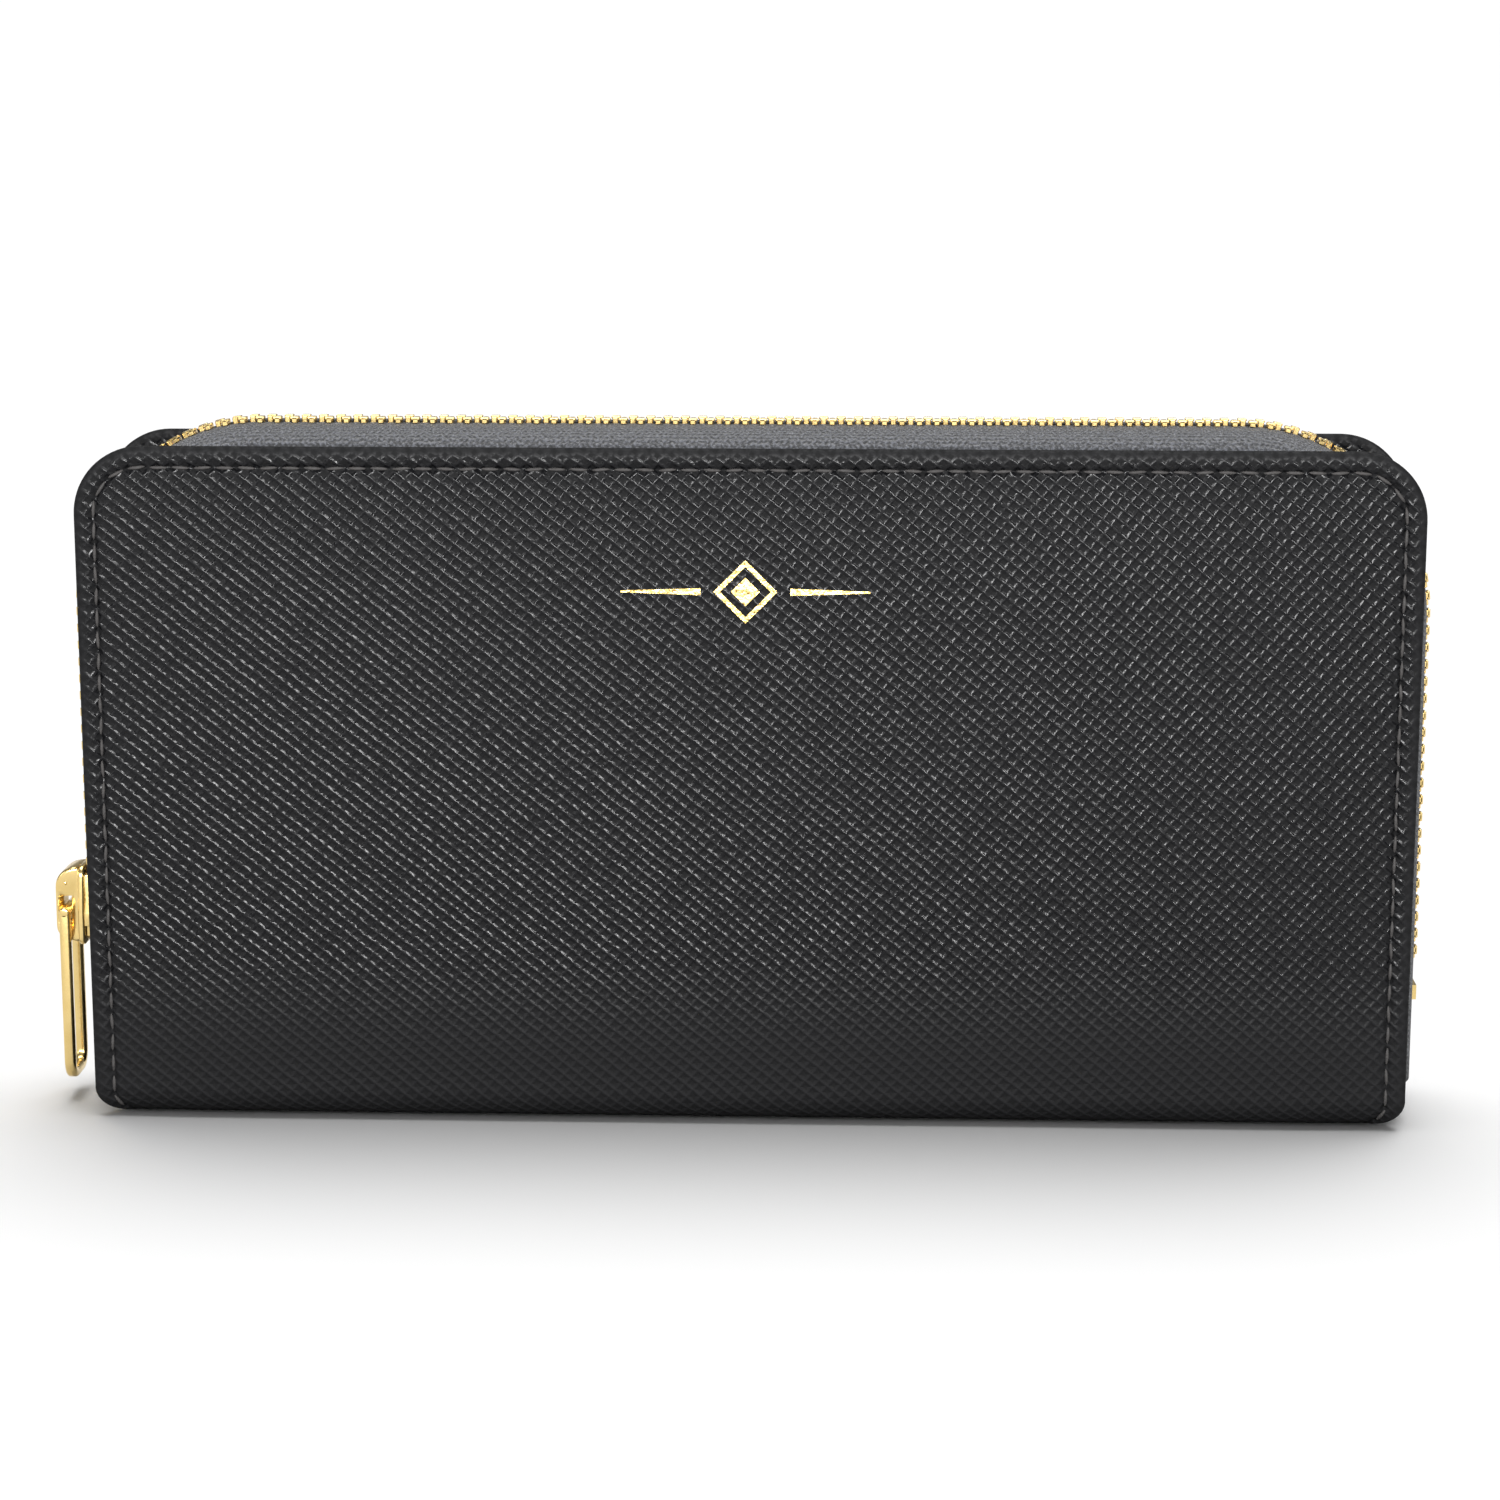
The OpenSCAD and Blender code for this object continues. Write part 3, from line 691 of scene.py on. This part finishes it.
def zip_tape(name, side):
    bm = bmesh.new()
    across = bm.verts.layers.float.new("across")
    line = tape_line(side)
    loop = []
    for face, order in ((1, range(len(line))), (-1, range(len(line) - 1, -1, -1))):
        for k in order:
            ahead = (line[min(k + 1, len(line) - 1)] - line[max(k - 1, 0)]).normalized()
            cord = 1.35 if k > len(line) - 3 else 1.0
            at = line[k] + Vector((-ahead.y, ahead.x)) * (face * cord * TAPE_T / 2)
            vert = bm.verts.new((-CHAIN_X - at.x, at.y, TAPE_LEFT_FOOT))
            vert[across] = sum((line[j + 1] - line[j]).length for j in range(k))
            loop.append(vert)
    edges = [bm.edges.new((loop[k - 1], loop[k])) for k in range(len(loop))]
    first = list(edges)
    edges = extruded(bm, edges, 12, (0, 0, CHAIN_BEND - TAPE_LEFT_FOOT))
    edges = spun(bm, edges, CHAIN_R - CHAIN_X)
    edges = extruded(bm, edges, 40, (2 * (CHAIN_X - CHAIN_R), 0, 0))
    edges = spun(bm, edges, CHAIN_X - CHAIN_R)
    edges = extruded(bm, edges, 14, (0, 0, tape_lo[2] - CHAIN_BEND))
    for end in (first, edges):
        bmesh.ops.contextual_create(bm, geom=end)
    bmesh.ops.remove_doubles(bm, verts=bm.verts, dist=1e-6)
    bmesh.ops.recalc_face_normals(bm, faces=bm.faces)
    flat = bm.loops.layers.uv.new("flat")
    for face in bm.faces:
        for corner in face.loops:
            at = corner.vert.co
            corner[flat].uv = (CHAIN.distance(at.x, at.z), corner.vert[across])
    return piece(name, bm, TAPE, body=f"{name.split('_')[0]}_cover")


def tooth_pattern(side):
    """A zip tooth: narrow legs that grip the tape's cord under a wide cap, and a narrow head."""
    h, heel, head = 1.2 * MM, 2.2 * MM, 0.6 * MM
    slot, edge = 0.33 * MM, 1 * MM
    outline = [
        (-h, head),
        (h, head),
        (h, -heel),
        (slot, -heel),
        (slot, slot - edge),
        (-slot, slot - edge),
        (-slot, -heel),
        (-h, -heel),
    ]
    parts = [prism([(u * 0.94, y) for u, y in outline], 0.8 * MM, bevel=0.1 * MM)]
    for face in (-1, 1):
        low, high = face * 0.65 * h, face * h
        cap = [(low, -heel), (high, -heel), (high, -1 * MM), (low, -1 * MM)]
        parts.append(prism(cap, 1.35 * MM, bevel=0.12 * MM))
    bm = joined(parts)
    if side > 0:
        bmesh.ops.scale(bm, vec=(1, -1, 1), verts=bm.verts)
    bmesh.ops.recalc_face_normals(bm, faces=bm.faces)
    return stored(bm)


def tooth_row(name, side, shift, first_z, count):
    pattern = tooth_pattern(side)
    bm = bmesh.new()
    for k in range(count):
        add_mesh(bm, pattern, CHAIN.frame(first_z + (k + shift) * TOOTH_PITCH))
    return piece(name, bm, GOLD, body=f"{name.split('_')[0]}_cover", smooth=False)


slider_lo, slider_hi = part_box("slider_body")
PULL_U = -CHAIN_X - joints["pull_swing"]["pos_m"][0]
BRIDGE_HALF = 3.1 * MM
SLIDER_Z = slider_lo[2]
FIRST_TOOTH = SLIDER_Z + 5 * MM
STOP_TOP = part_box("zip_bottom_stop")[1][2]
TEETH = int((CHAIN.length - FIRST_TOOTH - STOP_TOP) / TOOTH_PITCH) - 1
for word, side in SIDES.items():
    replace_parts(zip_tape(f"{word}_zip_tape", side), f"zip_tape_{word}")
    row = tooth_row(f"{word}_zip_teeth", side, 0.0 if side < 0 else 0.5, FIRST_TOOTH, TEETH)
    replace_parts(row, f"zip_teeth_{word}")


# ---- The slider and its pull ----
# Drawn with X outwards, Y across and Z up from the mouth, then set on the left side.


def to_slider(bm):
    turned(bm, Matrix.Translation((-CHAIN_X, 0, SLIDER_Z)) @ Matrix.Scale(-1, 4, (1, 0, 0)))


FACE_OUT = Matrix(((0, 0, 1, 0), (1, 0, 0, 0), (0, 1, 0, 0), (0, 0, 0, 1)))
FACE_SIDE = Matrix(((1, 0, 0, 0), (0, 0, -1, 0), (0, 1, 0, 0), (0, 0, 0, 1)))


def slider_parts():
    length = slider_hi[2] - slider_lo[2]
    mouth, tail = 4.4 * MM, 3.7 * MM
    channel, wing = 1.35 * MM, 0.9 * MM
    mouth_r, tail_r = 1.4 * MM, 1.6 * MM
    plan = (
        arc(mouth_r - mouth, mouth_r, mouth_r, 180, 270, 5)
        + arc(mouth - mouth_r, mouth_r, mouth_r, 270, 360, 5)
        + [(mouth, 5 * MM)]
        + arc(tail - tail_r, length - tail_r, tail_r, 0, 90, 5)
        + arc(tail_r - tail, length - tail_r, tail_r, 90, 180, 5)
        + [(-mouth, 5 * MM)]
    )
    parts = []
    for level in (channel + wing / 2, -channel - wing / 2):
        plate = prism(plan, wing, bevel=0.28 * MM, segments=3)
        parts.append(turned(plate, Matrix.Translation((level, 0, 0)) @ FACE_OUT))
    wide, narrow, end = mouth - 0.25 * MM, tail - 0.2 * MM, length - 1.2 * MM
    rim = [
        (2.5 * MM, 5.4 * MM),
        (3.55 * MM, 3 * MM),
        (wide, 3 * MM),
        (wide, 5 * MM),
        (narrow, 7 * MM),
        (narrow, end),
        (2.5 * MM, end),
    ]
    for way in (-1, 1):
        for level in (-0.95 * MM, 0.95 * MM):
            flange = prism([(way * y, z) for y, z in rim], 0.9 * MM, bevel=0.12 * MM, segments=2)
            parts.append(turned(flange, Matrix.Translation((level, 0, 0)) @ FACE_OUT))
    half = 0.6 * MM
    diamond = [(0, 0.2 * MM), (half, 1.5 * MM), (half, 2.7 * MM)]
    diamond += [(0, 3.8 * MM), (-half, 2.7 * MM), (-half, 1.5 * MM)]
    parts.append(turned(prism(diamond, 2 * channel + 0.4 * MM), FACE_OUT))
    return parts


def ring_prism(outer, inner, length, rounding):
    """A plate with a hole, its outer rim rounded over in steps and the hole's rim crisp."""
    bm = bmesh.new()
    middle = sum((Vector(p) for p in outer), Vector((0, 0))) / len(outer)
    steps = [math.radians(90 * k / 5) for k in range(6)]
    profile = [
        (-length / 2 + rounding * (1 - math.sin(a)), rounding * (1 - math.cos(a)))
        for a in steps[::-1]
    ]
    profile += [(-z, shrink) for z, shrink in profile[::-1]]
    rings = []
    for z, shrink in profile:
        verts = []
        for p in outer:
            away = Vector(p) - middle
            keep = 1 - shrink / max(away.length, 1e-6)
            at = middle + away * keep
            verts.append(bm.verts.new((at.x, at.y, z)))
        rings.append([bm.edges.new((verts[k - 1], verts[k])) for k in range(len(verts))])
    for a, b in zip(rings, rings[1:]):
        bmesh.ops.bridge_loops(bm, edges=a + b)
    holes = []
    for z in (-length / 2, length / 2):
        verts = [bm.verts.new((x, y, z)) for x, y in inner]
        holes.append([bm.edges.new((verts[k - 1], verts[k])) for k in range(len(verts))])
    bmesh.ops.bridge_loops(bm, edges=holes[0] + holes[1])
    for rim, hole in ((rings[0], holes[0]), (rings[-1], holes[1])):
        bmesh.ops.triangle_fill(bm, edges=rim + hole, use_beauty=True)
    bmesh.ops.recalc_face_normals(bm, faces=bm.faces)
    return bm


def bridge_part():
    """The arch over the outer wing, with the window that the pull's bar hangs in."""
    base, peak = 2.15 * MM, PULL_U + 1.55 * MM
    outer = (
        [(base, 0.3 * MM), (3.6 * MM, 0.4 * MM)]
        + arc(peak - 2 * MM, 2.6 * MM, 2 * MM, -60, 0, 6)
        + arc(peak - 3 * MM, 8.8 * MM, 3 * MM, 0, 80, 8)
        + [(base, 11.9 * MM)]
    )
    low, high = PULL_U - 0.95 * MM, PULL_U + 0.95 * MM
    cut = high - 0.3 * MM
    window = [(low, 3.3 * MM), (cut, 3.3 * MM), (high, 3.8 * MM)]
    window += [(high, 7 * MM), (cut, 7.5 * MM), (low, 7.5 * MM)]
    bridge = ring_prism(outer, window, 2 * BRIDGE_HALF, 0.55 * MM)
    return turned(bridge, FACE_SIDE)


def stake_pip():
    """The round end of the stake that closes the bridge, sunk in its front face."""
    bm = bmesh.new()
    bmesh.ops.create_uvsphere(bm, u_segments=16, v_segments=10, radius=0.42 * MM)
    sunk_y = -BRIDGE_HALF + 0.3 * MM
    bmesh.ops.translate(bm, vec=(4.3 * MM, sunk_y, 9.4 * MM), verts=bm.verts)
    return bm


def main_slider():
    bm = joined([*slider_parts(), bridge_part(), stake_pip()])
    to_slider(bm)
    return piece("main_slider_casting", bm, GOLD, body="main_slider")


def pull_frame(name, body, pivot, length, width, bar, thick, hang):
    """A flat open frame with eased edges, hanging from a round bar; hang turns it from -Z."""
    half = width / 2
    out_r = 2 * bar
    top = 0.15 * MM
    outer = (
        [(half, top), (-half, top)]
        + arc(out_r - half, out_r - length, out_r, 180, 270, 8)
        + arc(half - out_r, out_r - length, out_r, 270, 360, 8)
    )
    inner_half = half - bar
    inner = (
        [(inner_half, top), (-inner_half, top)]
        + arc(bar - inner_half, 2 * bar - length, bar, 180, 270, 6)
        + arc(inner_half - bar, 2 * bar - length, bar, 270, 360, 6)
    )
    bm = bmesh.new()
    loops = []
    for outline in (outer, inner):
        verts = [bm.verts.new((x, y, -thick / 2)) for x, y in outline]
        loops += [bm.edges.new((verts[k - 1], verts[k])) for k in range(len(verts))]
    bmesh.ops.triangle_fill(bm, edges=loops, use_beauty=True)
    grown = bmesh.ops.extrude_face_region(bm, geom=bm.faces[:])["geom"]
    bmesh.ops.translate(bm, vec=(0, 0, thick), verts=only(bmesh.types.BMVert, grown))
    bmesh.ops.recalc_face_normals(bm, faces=bm.faces)
    eased(bm, 0.3 * thick, 3, 50)
    turned(bm, FACE_OUT)
    rod = bmesh.new()
    r = thick / 2
    bmesh.ops.create_cone(rod, cap_ends=True, segments=24, radius1=r, radius2=r, depth=width)
    eased(rod, 0.2 * thick, 2, 50)
    turned(rod, Matrix.Rotation(math.pi / 2, 4, "X"))
    both = joined([bm, rod])
    turned(both, Matrix.Translation(pivot) @ hang)
    return piece(name, both, GOLD, body=body)


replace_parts(main_slider(), "slider_body", "slider_cap")
main_pull = pull_frame(
    "main_pull_frame",
    "main_pull",
    joints["pull_swing"]["pos_m"],
    length=26.2 * MM,
    width=9.5 * MM,
    bar=1.5 * MM,
    thick=1.7 * MM,
    hang=Matrix(),
)
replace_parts(main_pull, "slider_pull")


# ---- The inside: card pockets, coin pocket and gussets ----


def arch_outline(half, top, r, foot):
    """A panel with two round top corners, as (x, z)."""
    right = arc(half - r, top - r, r, 0, 90, 8)
    return [(half, foot), *right, *[(-x, z) for x, z in reversed(right)], (-half, foot)]


def stitch_pattern(length, r):
    bm = bmesh.new()
    bmesh.ops.create_uvsphere(bm, u_segments=6, v_segments=6, radius=1)
    bmesh.ops.scale(bm, vec=(length / 2, r, r), verts=bm.verts)
    return stored(bm)


def stitch_row(bm, pattern, a, b, pitch):
    """Stitches from a to b, each a pattern laid along the line."""
    a, b = Vector(a), Vector(b)
    count = int((b - a).length / pitch)
    turn = Vector((1, 0, 0)).rotation_difference(b - a).to_matrix().to_4x4()
    for k in range(count):
        add_mesh(bm, pattern, Matrix.Translation(a.lerp(b, (k + 0.5) / count)) @ turn)


def panel(node, name, material, corner, hem=2.6 * MM, seams=()):
    """A sewn panel in its CAD leaf's place, with eased edges, a turned hem and its stitches."""
    lo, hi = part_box(node)
    body = frame["nodes"][node]["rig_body"]
    side = -1 if lo[1] + hi[1] < 0 else 1
    inner_y = min(abs(lo[1]), abs(hi[1]))
    thick = abs(hi[1] - lo[1])
    half, foot, top = hi[0], lo[2], hi[2]
    outline = arch_outline(half, top, corner, foot)
    sheet = turned(prism(outline, thick, bevel=0.15 * MM, segments=2), FACE_SIDE)
    middle = inner_y + thick / 2
    bmesh.ops.translate(sheet, vec=(0, side * middle, 0), verts=sheet.verts)
    edge = half - 0.3 * MM
    fold = [(-edge, top - hem), (edge, top - hem), (edge, top - 0.4 * MM), (-edge, top - 0.4 * MM)]
    turned_hem = turned(prism(fold, thick, bevel=0.2 * MM, segments=2), FACE_SIDE)
    hem_y = side * (middle - 0.13 * MM)
    bmesh.ops.translate(turned_hem, vec=(0, hem_y, 0), verts=turned_hem.verts)
    bm = joined([sheet, turned_hem])
    for x in (-0.75, -0.5, -0.25, 0, 0.25, 0.5, 0.75):
        cut(bm, (x * half, 0, 0), (1, 0, 0))
    leaf = piece(name, bm, material, body=body)
    sewn = bmesh.new()
    pattern = stitch_pattern(2.1 * MM, 0.17 * MM)
    y = side * (inner_y - 0.14 * MM)
    z = top - hem + 0.7 * MM
    stitch_row(sewn, pattern, (-edge, y, z), (edge, y, z), 2.8 * MM)
    y = side * (inner_y - 0.02 * MM)
    for x0, z0, x1, z1 in seams:
        stitch_row(sewn, pattern, (x0, y, z0), (x1, y, z1), 2.8 * MM)
    thread = piece(f"{name}_stitches", sewn, THREAD, body=body)
    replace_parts(leaf, node)
    return leaf, thread


def inside_panels():
    for word in SIDES:
        lo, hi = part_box(f"{word}_lining")
        corner = CHAIN_R - (CHAIN_X - hi[0])
        panel(f"{word}_lining", f"{word}_lining_panel", LINING, corner, hem=1.5 * MM)
        panel(f"{word}_card_backing", f"{word}_backing_panel", LINING, 1.5 * MM)
        for k in range(1, 5):
            node = f"{word}_card_pocket_{k}"
            lo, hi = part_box(node)
            edge = hi[0] - 2 * MM
            seams = [(0, lo[2] + 2 * MM, 0, hi[2] - 3 * MM)] if k == 4 else []
            seams += [(x, hi[2] - 11 * MM, x, hi[2] - 3 * MM) for x in (-edge, edge)]
            panel(node, f"{word}_pocket_panel_{k}", POCKET, 1.5 * MM, seams=seams)
        node = f"coin_pocket_{word}_wall"
        lo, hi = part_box(node)
        edge, foot, top = hi[0] - 1.8 * MM, lo[2] + 3 * MM, hi[2] - 4 * MM
        rows = [(-edge, foot, edge, foot), (-edge, foot, -edge, top), (edge, foot, edge, top)]
        panel(node, f"coin_{word}_panel", LINING, 0.6 * MM, seams=rows)


def gusset(word, end):
    """A strip of lining cloth, sewn to a cover and the centre and folded inwards between them."""
    side = SIDES[word]
    way = -1 if end == "left" else 1
    outer, inner = f"gusset_{word}_{end}_outer", f"gusset_{word}_{end}_inner"
    (olo, ohi), (ilo, ihi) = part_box(outer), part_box(inner)
    thick = 0.4 * MM
    x_out = max(abs(olo[0]), abs(ohi[0])) - thick / 2
    x_in = max(abs(ilo[0]), abs(ihi[0])) - thick / 2
    y_tab = max(abs(olo[1]), abs(ohi[1]))
    y_in = min(abs(ilo[1]), abs(ihi[1]))
    y_leaf = min(abs(olo[1]), abs(ohi[1])) + thick / 2
    y_low = max(abs(ilo[1]), abs(ihi[1])) - thick / 2
    x_fold = min(abs(ilo[0]), abs(ihi[0]))
    r = (y_leaf - y_low) / 2
    line = [(x_out, y_tab), (x_out, y_leaf + 1 * MM)]
    line += arc(x_out - 1 * MM, y_leaf + 1 * MM, 1 * MM, -20, -90, 4)
    run = x_out - x_fold - r
    line += [(x_out - 1 * MM - run * k / 8, y_leaf) for k in range(1, 8)]
    line += arc(x_fold + r, y_leaf - r, r, 90, 270, 10)
    run = x_in - x_fold - r
    line += [(x_fold + r + run * k / 8, y_low) for k in range(1, 8)]
    line += [*arc(x_in - 0.6 * MM, y_low - 0.6 * MM, 0.6 * MM, 90, 0, 4), (x_in, y_in)]
    line = [Vector(point) for point in line]
    rim = []
    for face, order in ((1, range(len(line))), (-1, range(len(line) - 1, -1, -1))):
        for k in order:
            ahead = (line[min(k + 1, len(line) - 1)] - line[max(k - 1, 0)]).normalized()
            at = line[k] + Vector((-ahead.y, ahead.x)) * (face * thick / 2)
            rim.append((way * at.x, side * at.y))
    length = ohi[2] - olo[2]
    bm = prism(rim, length)
    bmesh.ops.translate(bm, vec=(0, 0, olo[2] + length / 2), verts=bm.verts)
    for k in range(1, 12):
        cut(bm, (0, 0, olo[2] + length * k / 12), (0, 0, 1))
    for vert in bm.verts:
        depth = ease(x_fold + 12 * MM, x_fold, abs(vert.co.x))
        vert.co.x += way * depth * 0.5 * MM * math.sin(vert.co.z * 210 + side)
    flat_w = sum((b - a).length for a, b in zip(line, line[1:]))
    cloth = piece(f"gusset_{word}_{end}", bm, LINING)
    x = way * x_out
    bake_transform(cloth)
    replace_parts(cloth, outer, inner)


inside_panels()
for word in SIDES:
    for end in ("left", "right"):
        gusset(word, end)

coin_pull = pull_frame(
    "coin_pull_frame",
    "coin_pull",
    joints["coin_pull_swing"]["pos_m"],
    length=10.5 * MM,
    width=5.4 * MM,
    bar=0.9 * MM,
    thick=0.9 * MM,
    hang=Matrix.Rotation(math.pi / 2, 4, "Y"),
)
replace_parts(coin_pull, "coin_slider_pull")


# ---- The foil stamp: a plain diamond between two lines ----


def foil_ornament():
    parts = []
    rhomb = [(4.6 * MM, 0), (0, 4.6 * MM), (-4.6 * MM, 0), (0, -4.6 * MM)]
    for start, end in zip(rhomb, rhomb[1:] + rhomb[:1]):
        a, b = Vector(start), Vector(end)
        parts.append(prism([a, b, b * 0.8, a * 0.8], 0.1 * MM))
    parts.append(prism([(x * 0.45, z * 0.45) for x, z in rhomb], 0.1 * MM))
    for way in (-1, 1):
        near, far = way * 6.5 * MM, way * 18 * MM
        bar = [(near, -0.5 * MM), (far, -0.12 * MM), (far, 0.12 * MM), (near, 0.5 * MM)]
        parts.append(prism(bar, 0.1 * MM))
    bm = joined(parts)
    turned(bm, Matrix.Translation((0, -FACE_Y - 0.47 * MM, COVER_TOP - 20.5 * MM)) @ FACE_SIDE)
    return piece("foil_ornament", bm, FOIL, body="front_cover", smooth=False)


foil_ornament()


# ---- Floor, light and camera ----


def floor_dish():
    """A flat disc whose far rim rises, so that its edge is never in view."""
    bm = bmesh.new()
    bmesh.ops.create_circle(bm, cap_ends=True, segments=48, radius=4)
    grown = bmesh.ops.extrude_edge_only(bm, edges=bm.edges[:])["geom"]
    rim = only(bmesh.types.BMVert, grown)
    bmesh.ops.scale(bm, vec=(3, 3, 1), verts=rim)
    bmesh.ops.translate(bm, vec=(0, 0, 1.6), verts=rim)
    bmesh.ops.recalc_face_normals(bm, faces=bm.faces)
    if bm.faces[0].normal.z < 0:
        bmesh.ops.reverse_faces(bm, faces=bm.faces)
    return bm


def studio():
    look = Look("white_paper", (0.9, 0.9, 0.9), 0.9)
    look.feed("Roughness", 0.85 + look.noise(look.place(), 40, 2.0) * 0.1)
    floor = piece("white_paper_floor", floor_dish(), look.material)
    skipped = bpy.data.collections.new("not_lit_by_softboxes")
    skipped.objects.link(floor)
    skipped.collection_objects[0].light_linking.link_state = "EXCLUDE"

    world = bpy.data.worlds.new("studio")
    world.use_nodes = True
    world.node_tree.nodes["Background"].inputs["Color"].default_value = (1, 1, 1, 1)
    world.node_tree.nodes["Background"].inputs["Strength"].default_value = 0.26
    bpy.context.scene.world = world
    for name, place, width, height, energy in (
        ("strip_softbox", (0.015, -0.6, 0.27), 0.73, 0.08, 13),
        ("key_softbox", (0.09, -0.5, 0.36), 0.12, 0.1, 1.2),
        ("left_softbox", (-0.7, -0.35, 0.35), 0.3, 0.3, 1),
    ):
        light = bpy.data.lights.new(name, "AREA")
        light.shape = "RECTANGLE"
        light.size = width
        light.size_y = height
        light.energy = energy
        lamp = bpy.data.objects.new(name, light)
        lamp.location = place
        lamp.light_linking.receiver_collection = skipped
        lamp.rotation_euler = (Vector((0, 0, 0.05)) - lamp.location).to_track_quat("-Z", "Y").to_euler()
        bpy.context.scene.collection.objects.link(lamp)
    light = bpy.data.lights.new("overhead_light", "SUN")
    light.energy = 3
    light.angle = math.radians(50)
    lamp = bpy.data.objects.new("overhead_light", light)
    lamp.rotation_euler = Vector((-0.05, -0.22, -1)).to_track_quat("-Z", "Y").to_euler()
    bpy.context.scene.collection.objects.link(lamp)


def camera():
    pitch, yaw, distance = math.radians(12), math.radians(2.3), 0.5335
    target = Vector((0, -FACE_Y, COVER_TOP / 2))
    level = math.cos(pitch)
    away = Vector((level * math.sin(yaw), -level * math.cos(yaw), math.sin(pitch)))
    eye = target + distance * away
    data = bpy.data.cameras.new("camera")
    data.sensor_width = 36
    data.lens = 36 * 3655 / 1500
    data.shift_x = 0.003
    data.shift_y = 0.029
    data.clip_end = 20
    obj = bpy.data.objects.new("camera", data)
    obj.location = eye
    obj.rotation_euler = (target - eye).to_track_quat("-Z", "Y").to_euler()
    bpy.context.scene.collection.objects.link(obj)
    bpy.context.scene.camera = obj


studio()
camera()
bpy.context.scene.view_settings.view_transform = "Standard"
